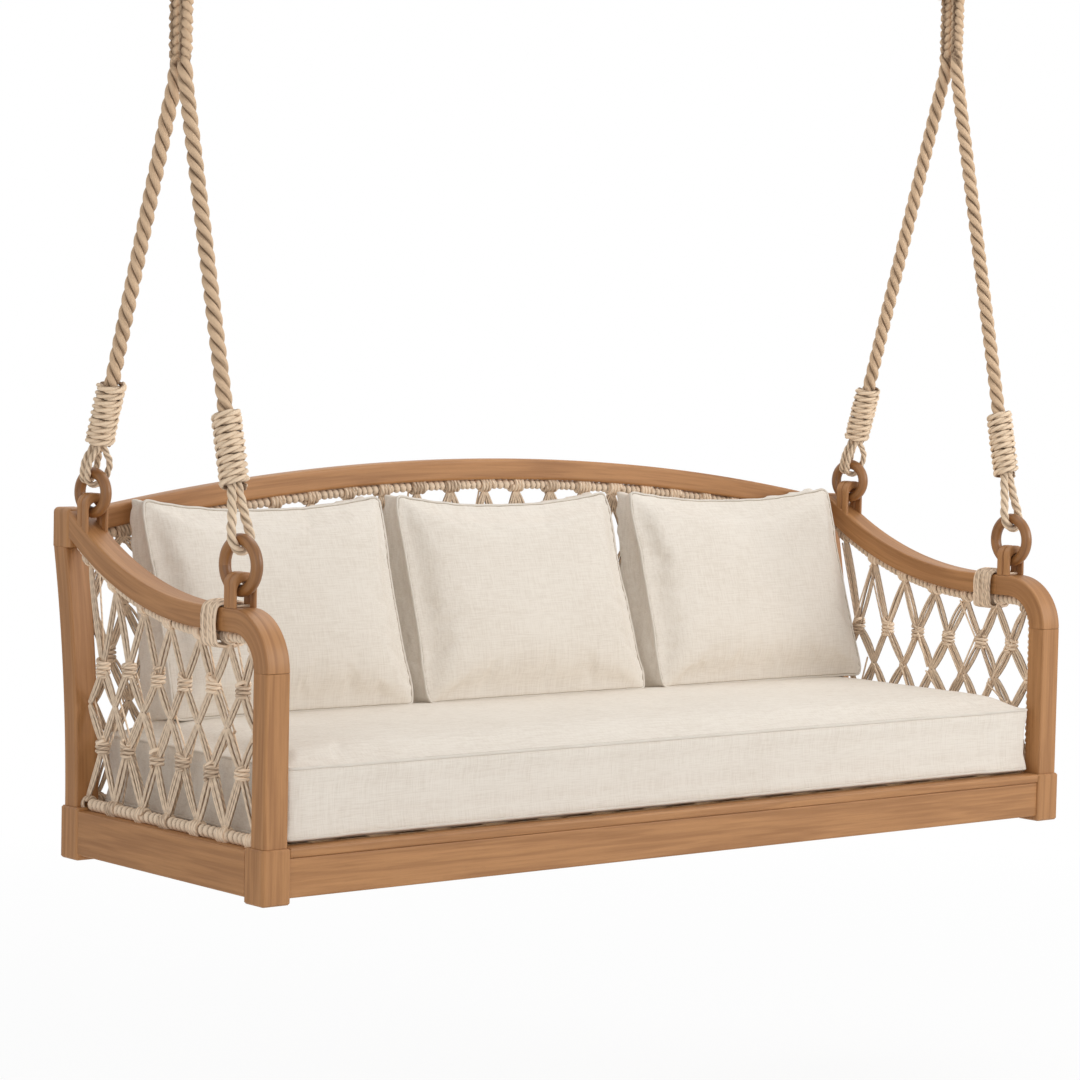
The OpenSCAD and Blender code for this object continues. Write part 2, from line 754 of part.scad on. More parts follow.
// A closed solid between a top and a bottom skin, both given over u and v from -1 to 1
module padded(top, bottom, nu, nv) {
    row = nu + 1;
    count = row * (nv + 1);
    grid = function (skin) [for (j = [0 : nv], i = [0 : nu]) skin(2 * i / nu - 1, 2 * j / nv - 1)];
    cells = [for (j = [0 : nv - 1], i = [0 : nu - 1]) j * row + i];
    rim = concat([for (i = [0 : nu - 1]) i], [for (j = [0 : nv - 1]) j * row + nu],
        [for (i = [nu : -1 : 1]) nv * row + i], [for (j = [nv : -1 : 1]) j * row]);
    upper = [for (a = cells, h = [0, 1]) h == 0 ? [a, a + row, a + 1] : [a + 1, a + row, a + row + 1]];
    lower = [for (t = upper) [t[0] + count, t[2] + count, t[1] + count]];
    walls = [for (i = [0 : len(rim) - 1], h = [0, 1])
        let (a = rim[i], b = rim[(i + 1) % len(rim)])
        h == 0 ? [a, b, b + count] : [a, b + count, a + count]];
    polyhedron(points = concat(grid(top), grid(bottom)), faces = concat(upper, lower, walls));
}

function swell(u, v, p, q) = (1 - pow(abs(u), p)) * (1 - pow(abs(v), q));

seat_w = 2 * (post_in - seat_gap);
seat_y = [24, bed_d - 44];
seat_low = block_h + 20;
seat_draw = 5;

function seat_point(u, v, z) =
    [u * (seat_w / 2 - seat_draw * (1 - v * v)),
    (seat_y[0] + seat_y[1]) / 2 + v * ((seat_y[1] - seat_y[0]) / 2 - seat_draw * (1 - u * u)), z];

module seat_cushion() {
    color(cloth) place() padded(
        function (u, v) seat_point(u, v, seat_low + seat_box + seat_crown * swell(u, v, 10, 4)),
        function (u, v) seat_point(u, v, max(block_h + touch, seat_low - 30 * swell(u, v, 16, 12))),
        20, 10);
}

// Back cushions stand on the seat cushion and lean on the crest: their front leans more than their
// back. The three share the width between the arms, the right one a little apart, as the photo has it
pillow_bed = 2100;
pillow_wide = pillow_w + (bed_w - pillow_bed) / 3;
pillow_x = [-pillow_wide - 6, 0, pillow_wide + 38];
pillow_z = seat_low + seat_box + seat_crown + 0.5;
pillow_top = pillow_z + 428.5;
pillow_front = [[bed_d - 190, pillow_z], [bed_d - 48, pillow_top]];
pillow_rear = [[bed_d - 72, pillow_z - 17], [bed_d, pillow_top]];
pillow_dip = 26;
pillow_draw = 10;
pillow_back_crown = 22;

function pillow_point(line, u, v, out) =
    let (t = (v + 1) / 2, p = line[0] + t * (line[1] - line[0]), n = turn90(unit(line[1] - line[0])),
        low = pillow_dip * (1 - u * u) * pow(t, 3), b = out * swell(u, v, 6, 4))
    [u * (pillow_wide / 2 - pillow_draw * (1 - v * v)), p[0] + b * n[0], p[1] - low + b * n[1]];

module back_cushion(i) {
    color(cloth) place() translate([pillow_x[i], 0, 0]) padded(
        function (u, v) pillow_point(pillow_front, u, v, pillow_crown),
        function (u, v) pillow_point(pillow_rear, u, v, -pillow_back_crown),
        14, 12);
}

// ---------- ropes ----------

// Lines of the two ropes of side s: start at the ring's top, unit step along the rope
function meet(s) = meet_z[(s + 1) / 2];
function rope_line(from, to) = [from, unit(to - from)];
function front_line(s) =
    rope_line([-post_x, front_eye_y, front_top_z], [-post_x, hang_y - pair_y, meet(s)]);
function back_line(s) =
    rope_line([-post_x, rear_eye_y, back_top_z], [-post_x, hang_y + pair_y, meet(s)]);

// Route of a main rope: up a leg from the loop's ends, beside its fellow up through the seizing,
// out to the thimble and round it. Each place on its neck is out from the hanging line, and height.
bight_z = hang_h + thimble_z;
spread_z = seize_z + seize_turns * whip_pitch + 3;
spread_steps = 5;
bight_steps = 18;
function neck(s) = concat(
    [[pair_y + 1.4, meet(s) - 5]],
    [for (z = [meet(s) + 20, (meet(s) + seize_z) / 2, seize_z]) [pair_y, z]],
    [for (k = [0 : spread_steps - 1]) let (t = k / spread_steps)
        [pair_y + (bight_r - pair_y) * t * t * (3 - 2 * t), spread_z + (bight_z - spread_z) * t]]);
function leg(line, start, top) =
    let (s0 = start + loop_in + 0.8, s1 = (top - 40 - line[0][2]) / line[1][2])
    [for (k = [0 : 4]) line[0] + line[1] * (s0 + (s1 - s0) * k / 4)];
bight = [for (i = [0 : bight_steps]) let (a = 180 * i / bight_steps)
    [-post_x, hang_y - bight_r * cos(a), bight_z + bight_r * sin(a)]];
function backward(p) = [for (i = [len(p) - 1 : -1 : 0]) p[i]];
function rope_route(s) = concat(
    leg(front_line(s), front_whip_s, meet(s)),
    [for (p = neck(s)) [-post_x, hang_y - p[0], p[1]]],
    bight,
    [for (p = backward(neck(s))) [-post_x, hang_y + p[0], p[1]]],
    backward(leg(back_line(s), back_whip_s, meet(s))));

module rope(s) {
    color(cord) place() side(s) tube(rope_route(s), rope_d, 10);
}

// Route of a rope loop: across and along the rope, from one leg's end round the ring and back
function hairpin(start, r) =
    let (half = concat([[loop_d / 2 + 0.4, start + loop_in], [loop_d / 2 + 0.4, start]],
        [for (k = [0.7, 0.4]) [loop_d / 2 + 0.4 + (r - loop_d / 2 - 0.4) * (1 - k), start * k]]),
        turn = [for (a = [0 : 20 : 180]) [r * cos(a), -r * sin(a)]])
    concat(half, [[r, start * 0.14]], turn, [[-r, start * 0.14]],
        [for (i = [len(half) - 1 : -1 : 0]) [-half[i][0], half[i][1]]]);

module rope_loop(line, start, ring_t, yaw) {
    flat = [cos(yaw), sin(yaw), 0];
    wide = unit(flat - line[1] * (flat * line[1]));
    r = ring_t / 2 + loop_fit + loop_d / 2;
    tube([for (p = hairpin(start, r)) line[0] + p[0] * wide + p[1] * line[1]], loop_d, 8);
}

module rope_loops(s) {
    yaw = ring_yaw[(s + 1) / 2];
    color(cord) place() side(s) {
        rope_loop(front_line(s), front_whip_s, front_ring_t, yaw[0]);
        rope_loop(back_line(s), back_whip_s, back_ring_t, yaw[1]);
    }
}

// Windings: one helical cord each, with its real number of turns
function whip_route(line, start, turns) =
    let (r = whip_core + whip_d / 2, u = [1, 0, 0], v = cross(line[1], u), n = 12)
    with_ends([for (i = [0 : turns * n]) line[0] + line[1] * (start + whip_d / 2 + whip_pitch * i / n)
        + r * (cos(360 * i / n) * u + sin(360 * i / n) * v)], whip_d);

// The seizing runs round both ropes: half circles joined by straight runs
function seize_point(i, n) =
    let (k = i % n, half = n / 2, back = k >= half, a = (back ? k - half : k) * 180 / (half - 1) - 90,
        r = rope_d / 2 + seize_in + whip_d / 2, turn = back ? -1 : 1)
    [turn * r * sin(-a), turn * (pair_y + r * cos(a))];
function seize_route() =
    let (n = 12)
    with_ends([for (i = [0 : seize_turns * n]) let (p = seize_point(i, n))
        [-post_x + p[0], hang_y + p[1], seize_z + whip_pitch * i / n]], whip_d);

seizing = seize_route();

module rope_bindings(s) {
    color(cord) place() side(s) {
        tube(whip_route(front_line(s), front_whip_s, front_whip_turns), whip_d, 5);
        tube(whip_route(back_line(s), back_whip_s, back_whip_turns), whip_d, 5);
        tube(seizing, whip_d, 5);
    }
}

// The lashing binds the cane to the arm: a round-cornered path of 16 points a turn

function lash_point(k) =
    let (q = floor(k / 4), m = k % 4, mid = (lash_top + lash_low) / 2,
        sx = q == 0 || q == 3 ? 1 : -1, top = q < 2,
        centre = [sx * (lash_a - lash_r), top ? lash_top - lash_r : lash_low + lash_r],
        a = 90 * q + 45 * (m - 1))
    m > 0 ? centre + lash_r * [cos(a), sin(a)]
    : q == 0 ? [lash_a, mid] : q == 1 ? [0, lash_top] : q == 2 ? [-lash_a, mid] : [0, lash_low];

lashing = with_ends([for (i = [0 : 16 * lash_turns]) let (p = lash_point(i % 16))
    [-post_x + p[0], lash_y + lash_pitch * i / 16, p[1]]], lash_d);

module arm_lashing() {
    color(cord) place() tube(lashing, lash_d, 5);
}

echo(whip_gap = self_gap(whip_route(front_line(-1), front_whip_s, front_whip_turns), whip_d, 9));
echo(seizing_gap = self_gap(seizing, whip_d, 9));
echo(lashing_gap = self_gap(lashing, lash_d, 12));

// ---------- ceiling hardware ----------

module thimble() {
    color(steel) translate([-post_x, 0, thimble_z]) rotate([0, 90, 0]) rotate_extrude($fn = 96)
        difference() {
            translate([bight_r, 0]) circle(thimble_out);
            translate([bight_r, 0]) circle(thimble_out - thimble_t);
            translate([bight_r, -bight_r]) square(2 * bight_r);
        }
}

module hanger_link() {
    barrel = ear_gap - 4;
    color(steel) translate([-post_x, 0, 0]) difference() {
        union() {
            bore_x(0, bolt_z, -barrel / 2, barrel / 2, 2 * link_head);
            bore_z(0, 0, link_z + link_r + link_t / 2, bolt_z, link_t);
            translate([0, 0, link_z]) rotate([90, 0, 0]) rotate_extrude($fn = 96)
                translate([link_r + link_t / 2, 0]) circle(d = link_t);
        }
        bore_x(0, bolt_z, -barrel, barrel, sleeve_d + 2 * fit);
    }
}

module bolt_sleeves() {
    color("ivory") for (s = [-1, 1]) side(s) translate([-post_x, 0, 0]) difference() {
        bore_x(0, bolt_z, fit - ear_gap / 2, ear_gap / 2 - fit, sleeve_d);
        bore_x(0, bolt_z, -ear_gap, ear_gap, bolt_d + 2 * fit);
    }
}

module swing_bolts() {
    out = ear_gap / 2 + plate_t;
    color(steel) for (s = [-1, 1]) side(s) translate([-post_x, 0, bolt_z]) rotate([0, 90, 0]) {
        translate([0, 0, -out]) cylinder(d = bolt_d, h = 2 * out + 14);
        translate([0, 0, -out - 8]) cylinder(d = 1.7 * bolt_d, h = 8, $fn = 6);
        translate([0, 0, out]) cylinder(d = 1.7 * bolt_d, h = 10, $fn = 6);
    }
}

module ceiling_bracket() {
    ear_w = 44;
    color(steel) translate([-post_x, 0, 0]) difference() {
        union() {
            translate([-plate_w / 2, -plate_l / 2, -plate_t]) cube([plate_w, plate_l, plate_t]);
            for (x = [-ear_gap / 2 - plate_t, ear_gap / 2]) {
                translate([x, -ear_w / 2, bolt_z]) cube([plate_t, ear_w, -bolt_z - plate_t / 2]);
                bore_x(0, bolt_z, x, x + plate_t, ear_w);
            }
        }
        bore_x(0, bolt_z, -plate_w, plate_w, bolt_d + 2 * fit);
        for (y = [-1, 1]) bore_z(0, y * screw_gap / 2, -2 * plate_t, 1, 2 * screw_r);
    }
}

// ---------- output ----------
side(-1) block(false);  // block_front_left
side(1) block(false);  // block_front_right
side(-1) block(true);  // block_back_left
side(1) block(true);  // block_back_right
side(-1) front_post();  // post_front_left
side(1) front_post();  // post_front_right
side(-1) back_post();  // post_back_left
side(1) back_post();  // post_back_right
side(-1) bend();  // bend_left
side(1) bend();  // bend_right
side(-1) arm();  // arm_left
side(1) arm();  // arm_right
side(-1) cap();  // cap_left
side(1) cap();  // cap_right
crest_rail();
front_lip();
front_apron();
back_apron();
side(-1) side_apron();  // side_apron_left
side(1) side_apron();  // side_apron_right
deck_cleats();
centre_stretcher();
seat_slats();
wood_screws();
post_bolts();
frame_dowels();
side(-1) eye_front();  // eye_front_left
side(1) eye_front();  // eye_front_right
side(-1) eye_back();  // eye_back_left
side(1) eye_back();  // eye_back_right
side(-1) arm_lashing();  // arm_lashing_left
side(1) arm_lashing();  // arm_lashing_right
side(-1) arm_cane();  // arm_cane_left
side(1) arm_cane();  // arm_cane_right
base_bars();
crest_cane();
side(-1) side_net();  // side_net_left
side(1) side_net();  // side_net_right
back_net();
seat_cushion();
back_cushion(0);  // back_cushion_left
back_cushion(1);  // back_cushion_middle
back_cushion(2);  // back_cushion_right
rings(-1);  // rings_left
rings(1);  // rings_right
rope_loops(-1);  // rope_loops_left
rope_loops(1);  // rope_loops_right
rope(-1);  // rope_left
rope(1);  // rope_right
rope_bindings(-1);  // rope_bindings_left
rope_bindings(1);  // rope_bindings_right
side(-1) thimble();  // thimble_left
side(1) thimble();  // thimble_right
side(-1) hanger_link();  // hanger_link_left
side(1) hanger_link();  // hanger_link_right
swing_bolts();
bolt_sleeves();
side(-1) ceiling_bracket();  // ceiling_bracket_left
side(1) ceiling_bracket();  // ceiling_bracket_right
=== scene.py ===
import math

import bpy
import numpy as np
from mathutils import Matrix, Vector
from mathutils.bvhtree import BVHTree
from mathutils.kdtree import KDTree


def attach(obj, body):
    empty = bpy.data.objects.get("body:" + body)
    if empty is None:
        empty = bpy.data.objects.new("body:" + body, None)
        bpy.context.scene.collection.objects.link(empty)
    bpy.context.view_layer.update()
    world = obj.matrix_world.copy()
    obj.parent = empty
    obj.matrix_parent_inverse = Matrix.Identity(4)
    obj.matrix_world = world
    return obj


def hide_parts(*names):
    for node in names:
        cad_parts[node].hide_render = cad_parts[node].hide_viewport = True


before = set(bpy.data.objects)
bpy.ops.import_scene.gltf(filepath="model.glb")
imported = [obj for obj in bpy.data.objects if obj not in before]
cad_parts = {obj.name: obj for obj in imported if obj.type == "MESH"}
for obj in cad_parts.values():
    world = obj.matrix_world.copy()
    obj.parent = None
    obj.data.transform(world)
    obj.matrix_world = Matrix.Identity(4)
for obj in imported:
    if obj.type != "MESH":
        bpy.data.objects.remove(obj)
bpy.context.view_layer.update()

# Lengths are millimetres in the bed's own frame until a piece is made: x from the bed's middle,
# y from its front, z from the foot of its corner blocks. HOME is where the part's origin lies.
HANG_Y, HANG_H = 352.0, 2220.0
HOME = np.array([0.0, HANG_Y, HANG_H])
MM = 0.001
SIDES, ENDS = {"left": -1, "right": 1}, {"front": -1, "back": 1}
ACROSS, BACK, UP = np.eye(3)
STRANDS = 3
dice = np.random.default_rng(7)


def put(name, data):
    """A new object in the scene."""
    made = bpy.data.objects.new(name, data)
    bpy.context.scene.collection.objects.link(made)
    return made


# ---------- camera ----------

def aim_camera():
    """The photo's camera: level with the arms, to the left of the bed, with a slight roll."""
    azimuth, pitch, roll = math.radians(39.462), math.radians(-3.491), math.radians(1.209)
    forward = Vector((math.sin(azimuth) * math.cos(pitch), math.cos(azimuth) * math.cos(pitch),
                      math.sin(pitch)))
    level = Vector((math.cos(azimuth), -math.sin(azimuth), 0))
    upright = level.cross(forward)
    right = level * math.cos(roll) + upright * math.sin(roll)
    up = upright * math.cos(roll) - level * math.sin(roll)
    place = (np.array([-4407.7, -4834.7, 1025.9]) - HOME) * MM
    data = bpy.data.cameras.new("camera")
    data.lens, data.sensor_width = 110.75, 36
    data.clip_start, data.clip_end = 0.1, 100
    camera = put("camera", data)
    turn = Matrix((right, up, -forward)).transposed().to_4x4()
    camera.matrix_world = Matrix.Translation(place) @ turn
    bpy.context.scene.camera = camera


# ---------- shapes ----------

def unit(v):
    return v / np.maximum(np.linalg.norm(v, axis=-1, keepdims=True), 1e-12)


def lengths(path):
    """How far along the path each of its points is."""
    return np.concatenate([[0], np.cumsum(np.linalg.norm(np.diff(path, axis=0), axis=1))])


def even(path, step):
    """The path again, its points about step apart."""
    along = lengths(path)
    at = np.linspace(0, along[-1], max(2, math.ceil(along[-1] / step) + 1))
    return np.stack([np.interp(at, along, path[:, k]) for k in range(3)], axis=1)


def smooth(points, step):
    """A smooth curve through the points, as points about step apart."""
    points = np.asarray(points, float)
    along = lengths(points)
    slope = np.gradient(points, along, axis=0)
    out = []
    for i in range(len(points) - 1):
        span = along[i + 1] - along[i]
        t = np.linspace(0, 1, 12, endpoint=False)[:, None]
        out.append((2 * t**3 - 3 * t**2 + 1) * points[i] + (t**3 - 2 * t**2 + t) * span * slope[i]
                   + (3 * t**2 - 2 * t**3) * points[i + 1] + (t**3 - t**2) * span * slope[i + 1])
    return even(np.concatenate([*out, points[-1:]]), step)


def eased(run, times):
    """A closed run of points, each drawn towards its neighbours."""
    for _ in range(times):
        run = 0.5 * run + 0.25 * (np.roll(run, 1, 0) + np.roll(run, -1, 0))
    return run


def line(start, end, step=1e9):
    return even(np.array([start, end], float), step)


def arc(centre, radius, first, second, angles):
    """Points round a centre; angle 0 lies towards first and 90 degrees towards second."""
    a = np.radians(angles)[:, None]
    return centre + radius * (np.cos(a) * first + np.sin(a) * second)


def axes(path, side, closed=False):
    """Unit tangent, side and third direction at each point; side is one vector, or one a point."""
    ahead = np.roll(path, -1, 0) - np.roll(path, 1, 0) if closed else np.gradient(path, axis=0)
    tangent = unit(ahead)
    side = np.broadcast_to(np.asarray(side, float), path.shape)
    side = unit(side - tangent * (side * tangent).sum(1, keepdims=True))
    return tangent, side, np.cross(tangent, side)


def circle(radius, sides):
    a = 2 * math.pi * np.arange(sides) / sides
    return radius * np.stack([np.cos(a), np.sin(a)], axis=1)


def rounded(w, h, r, steps=4):
    """A rounded rectangle, with a point just inside each end of its flats to keep them flat."""
    r = max(r, 0.1)
    keep = min(1.5, (w - 2 * r) / 4, (h - 2 * r) / 4)
    out = []
    for k, (sx, sy) in enumerate(((1, 1), (-1, 1), (-1, -1), (1, -1))):
        a = np.radians(90 * k + np.linspace(0, 90, steps + 1))
        corner = np.array([sx * (w / 2 - r), sy * (h / 2 - r)]) \
            + r * np.stack([np.cos(a), np.sin(a)], axis=1)
        before, after = np.array([-math.sin(a[0]), math.cos(a[0])]), \
            np.array([-math.sin(a[-1]), math.cos(a[-1])])
        out += [corner[0] - keep * before, *corner, corner[-1] + keep * after]
    return np.array(out)


class Shape:
    """Faces gathered for one piece. Each face corner has its run: how far along the stock it lies,
    how far round or across it, and a third value: the second way across for timber, and for cords a
    shade value, random from cord to cord, which on most cords is painted shade, dark in the grooves."""

    def __init__(self):
        self.points, self.loops, self.counts, self.run, self.size = [], [], [], [], 0

    def add(self, points, faces, run):
        """faces is rows of point numbers, and run has a row for each corner of each face."""
        self.points.append(points)
        self.loops.append(faces.ravel() + self.size)
        self.counts.append(np.full(len(faces), faces.shape[1]))
        self.run.append(run.reshape(-1, 3))
        self.size += len(points)

    def sweep(self, path, section, side, closed=False, size=None, across=False, tone_and_groove_shade=0.0,
              planes=(None, None), shift=(0, 0, 0), core=None):
        """Sweeps a section, or one a point of the path, along the path. across keeps the section's
        own two places in the run, as timber needs, instead of the way round it. planes are
        (number of rings, axis, place) for an end that is cut square to an axis of the bed. core is
        the line that this strand lies round or beside, two distances from it, and the way they are
        measured, if only one way counts: the run's third value is then painted shade, rising from 0
        at the first distance, in the grooves, to 1 at the second."""
        count, sides = len(path), section.shape[-2]
        tangent, first, second = axes(path, side, closed)
        section = np.broadcast_to(section, (count, sides, 2))
        if size is not None:
            section = section * np.asarray(size)[:, None, None]
        points = path[:, None] + section[..., :1] * first[:, None] + section[..., 1:] * second[:, None]
        for end, plane in zip((0, -1), planes):
            if plane:
                rings, axis, place = plane
                direction = tangent[end]
                for k in range(rings):
                    ring = k if end == 0 else count - 1 - k
                    gap = place + (path[ring] - path[end])[axis] - points[ring, :, axis]
                    points[ring] += gap[:, None] / direction[axis] * direction
        if core is not None:
            middle, low, high, way = core
            gap = points - middle[:, None]
            gap = np.linalg.norm(gap, axis=2) if way is None else np.abs(gap @ way)
            tone_and_groove_shade = np.clip((gap - low) / (high - low), 0, 1)
        tones_and_groove_shades = np.broadcast_to(tone_and_groove_shade, (count, sides)) / MM
        rows, columns = np.arange(count if closed else count - 1)[:, None], np.arange(sides)[None]
        ahead, beside = (rows + 1) % count, (columns + 1) % sides
        faces = np.stack([rows * sides + columns, rows * sides + beside,
                          ahead * sides + beside, ahead * sides + columns], axis=-1).reshape(-1, 4)
        along = lengths(np.concatenate([path, path[:1]]) if closed else path)
        if across:
            place = np.concatenate([np.broadcast_to(along[:count, None, None], (count, sides, 1)),
                                    section], axis=2) + shift
            run = place.reshape(-1, 3)[faces] * MM
        else:
            girth = np.linalg.norm(section[0] - np.roll(section[0], -1, 0), axis=1)
            around = np.concatenate([[0], np.cumsum(girth)])
            s0, s1 = along[rows] + 0 * columns, along[rows + 1] + 0 * columns
            a0, a1 = around[columns] + 0 * rows, around[columns + 1] + 0 * rows
            corners = ((s0, a0, tones_and_groove_shades[rows, columns]), (s0, a1, tones_and_groove_shades[rows, beside]),
                       (s1, a1, tones_and_groove_shades[ahead, beside]), (s1, a0, tones_and_groove_shades[ahead, columns]))
            run = np.stack([np.stack(corner, -1) for corner in corners], 2) * MM
        self.add(points.reshape(-1, 3), faces, run)
        if not closed:
            base = self.size - count * sides
            for ring, order in ((0, -1), (count - 1, 1)):
                self.loops.append((base + ring * sides + np.arange(sides))[::order])
                self.counts.append(np.array([sides]))
                spots = np.column_stack([np.full(sides, along[ring]), section[ring]]) + shift
                if not across:
                    spots = np.tile([along[ring], 0, tones_and_groove_shades[ring].mean()], (sides, 1))
                self.run.append(spots[::order] * MM)

    def cord(self, path, diameter, side, sides=8, tone_and_groove_shade=None, core=None):
        """A plain round cord with domed ends."""
        radius = diameter / 2
        start, end = unit(path[0] - path[1]), unit(path[-1] - path[-2])
        angles = np.radians([75, 40])
        before = path[0] + radius * np.sin(angles)[:, None] * start
        after = path[-1] + radius * np.sin(angles[::-1])[:, None] * end
        size = np.concatenate([np.cos(angles), np.ones(len(path)), np.cos(angles[::-1])])
        if core is not None:
            core = (core[0][[0, 0, *range(len(path)), -1, -1]], *core[1:])
        self.sweep(np.concatenate([before, path, after]), circle(radius, sides), side, size=size,
                   tone_and_groove_shade=dice.uniform(0.4, 1) if tone_and_groove_shade is None else tone_and_groove_shade, core=core)

    def laid(self, path, diameter, lay, side, sides=8, core=None):
        """A cord of three strands laid round each other; lay is the length of one turn."""
        _, first, second = axes(path, side)
        thick = diameter * 0.53
        out = (diameter - thick) / 2
        turn = dice.uniform(0, 6) - 2 * math.pi * lengths(path) / lay
        for k in range(STRANDS):
            a = (turn + 2 * math.pi * k / STRANDS)[:, None]
            # Painted shade: each strand is darker where it lies towards the cord's middle, in the
            # grooves between strands.
            self.cord(path + out * (np.cos(a) * first + np.sin(a) * second), thick, side, sides,
                      tone_and_groove_shade=0, core=core or (path, 0.29 * diameter, 0.5 * diameter, None))

    def bar(self, path, w, h, r, side, ends=(1.5, 1.5), cuts=(None, None)):
        """Timber of a rounded section: w towards side and h across it. ends are the roundings of
        its ends, and cuts the axis and place of an end that is cut square to the bed."""
        shift = (dice.uniform(0, 3000), dice.uniform(-200, 200), dice.uniform(-200, 200))
        steps = [1 if e < 5 else 5 for e in ends]
        rings, sections, planes = list(path), [rounded(w, h, r)] * len(path), []
        for end, ease, count, cut in zip((0, -1), ends, steps, cuts):
            way = unit(path[end] - path[1 if end == 0 else -2])
            angles = np.radians(np.linspace(0, 90, count + 1))
            spots = [path[end] - way * ease * (1 - math.sin(a)) for a in angles]
            shrink = [ease * (1 - math.cos(a)) for a in angles]
            made = [rounded(w - 2 * e, h - 2 * e, r - e) for e in shrink]
            if end == 0:
                rings[:1], sections[:1] = spots[::-1], made[::-1]
            else:
                rings[-1:], sections[-1:] = spots, made
            planes.append((count + 1, *cut) if cut else None)
        self.sweep(np.array(rings), np.array(sections), side, across=True, planes=planes,
                   shift=shift)
        return self


def piece(name, shape, body, finish, stands_for=(), sharp=None):
    """Makes an object of the shape. It rides on its body and stands for those CAD nodes."""
    mesh = bpy.data.meshes.new(name)
    points = ((np.concatenate(shape.points) - HOME) * MM).astype(np.float32)
    loops, counts = np.concatenate(shape.loops), np.concatenate(shape.counts)
    mesh.vertices.add(len(points))
    mesh.vertices.foreach_set("co", points.ravel())
    mesh.loops.add(len(loops))
    mesh.loops.foreach_set("vertex_index", loops.astype(np.int32))
    mesh.polygons.add(len(counts))
    mesh.polygons.foreach_set("loop_start", (np.cumsum(counts) - counts).astype(np.int32))
    mesh.update(calc_edges=True)
    run = mesh.attributes.new("run", "FLOAT_VECTOR", "CORNER")
    run.data.foreach_set("vector", np.concatenate(shape.run).astype(np.float32).ravel())
    mesh.shade_smooth()
    if sharp:
        mesh.set_sharp_from_angle(angle=math.radians(sharp))
    mesh.materials.append(finish)
    made = put(name, mesh)
    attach(made, body)
    if stands_for:
        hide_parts(*stands_for)
    return made


# ---------- finishes ----------

class Wire:
    """One output of a shader node. Arithmetic on it adds Math nodes."""

    def __init__(self, finish, socket):
        self.finish, self.socket = finish, socket

    def math(self, operation, *values):
        return self.finish.node("ShaderNodeMath", {"operation": operation},
                                dict(enumerate(values)))

    def __add__(self, other):
        return self.math("ADD", self, other)

    def __sub__(self, other):
        return self.math("SUBTRACT", self, other)

    def __rsub__(self, other):
        return self.math("SUBTRACT", other, self)

    def __mul__(self, other):
        return self.math("MULTIPLY", self, other)

    __radd__, __rmul__ = __add__, __mul__

    def wave(self):
        """A sine of the value, from 0 to 1; one wave for each whole step of it."""
        return self.math("SINE", self * (2 * math.pi)) * 0.5 + 0.5


class Finish:
    """A procedural material: nodes that feed one Principled shader."""

    def __init__(self, name, **constants):
        self.material = bpy.data.materials.new(name)
        self.material.use_nodes = True
        self.tree = self.material.node_tree
        self.shader = self.tree.nodes["Principled BSDF"]
        for socket, value in constants.items():
            self.shader.inputs[socket.replace("_", " ")].default_value = value

    def node(self, kind, settings, inputs, output=0):
        """Adds a node: its settings first, a ramp's stops among them, then its inputs."""
        made = self.tree.nodes.new(kind)
        for setting, value in settings.items():
            if setting == "stops":
                for stop, (place, level) in zip(made.color_ramp.elements, value):
                    stop.position, stop.color = place, (level, level, level, 1)
            else:
                setattr(made, setting, value)
        for socket, value in inputs.items():
            if isinstance(value, Wire):
                self.tree.links.new(value.socket, made.inputs[socket])
            else:
                made.inputs[socket].default_value = value
        return Wire(self, made.outputs[output])

    def run(self):
        """Along, round, and the shade value or across, as the swept pieces carry them, in metres. On
        most cords the shade value is painted shade, dark in the grooves.
        """
        return self.node("ShaderNodeAttribute", {"attribute_name": "run"}, {}, "Vector")

    def place(self):
        return self.node("ShaderNodeTexCoord", {}, {}, "Object")

    def stretch(self, vector, *scales):
        return self.node("ShaderNodeVectorMath", {"operation": "MULTIPLY"},
                         {0: vector, 1: scales})

    def split(self, vector):
        return [self.node("ShaderNodeSeparateXYZ", {}, {0: vector}, k) for k in range(3)]

    def noise(self, vector, scales, detail=2.0, rough=0.5):
        """Noise with so many cells to the metre along each part of the vector."""
        return self.node("ShaderNodeTexNoise", {}, {
            "Vector": self.stretch(vector, *scales), "Scale": 1.0,
            "Detail": detail, "Roughness": rough}, "Fac")

    def ramp(self, value, *stops):
        return self.node("ShaderNodeValToRGB", {"stops": stops}, {0: value})

    def mix(self, share, a, b):
        """Colours a and b mixed; each is a wire or three numbers."""
        a, b = [c if isinstance(c, Wire) else (*c, 1) for c in (a, b)]
        return self.node("ShaderNodeMix", {"data_type": "RGBA"}, {0: share, 6: a, 7: b}, 2)

    def feed(self, socket, wire):
        self.tree.links.new(wire.socket, self.shader.inputs[socket])

    def bump(self, height, distance, strength=1.0):
        """Bumps as high as distance, in metres, where the wire is 1."""
        self.feed("Normal", self.node("ShaderNodeBump", {}, {
            "Height": height, "Distance": distance, "Strength": strength}))


def cord_finish(name, light, dark, yarns):
    """Twisted or combed yarns: fine ridges along each strand, so many to the metre round it.
    light and dark are the cord's lit and shaded colours. They are mixed by painted shade, darker in
    the valleys between yarns and, through the run's third value, in the grooves between strands,
    cords and turns where a core sets it, at random elsewhere, and by random blotches and fibres.
    """
    made = Finish(name, Roughness=0.85)
    along, around, tone_and_groove_shade = made.split(made.run())
    shift = made.noise(made.run(), (45, 60, 40))
    ridges = (around * yarns + along * (yarns * 0.12) + shift * 2.0).wave()
    fibres = made.noise(made.run(), (90, 1500, 4), 2.0, 0.6)
    blotch = made.noise(made.run(), (12, 30, 2))
    depth = ridges * 0.6 + fibres * 0.4
    # shade: painted shade in the yarn valleys (depth) and in the grooves (the run's third value), with
    # random blotches
    shade = depth * 0.3 + blotch * 0.3 + tone_and_groove_shade * 0.5
    made.feed("Base Color", made.mix(made.ramp(shade, (0.28, 0), (0.72, 1)), dark, light))
    made.bump(depth, 0.0009, 0.6)
    return made.material


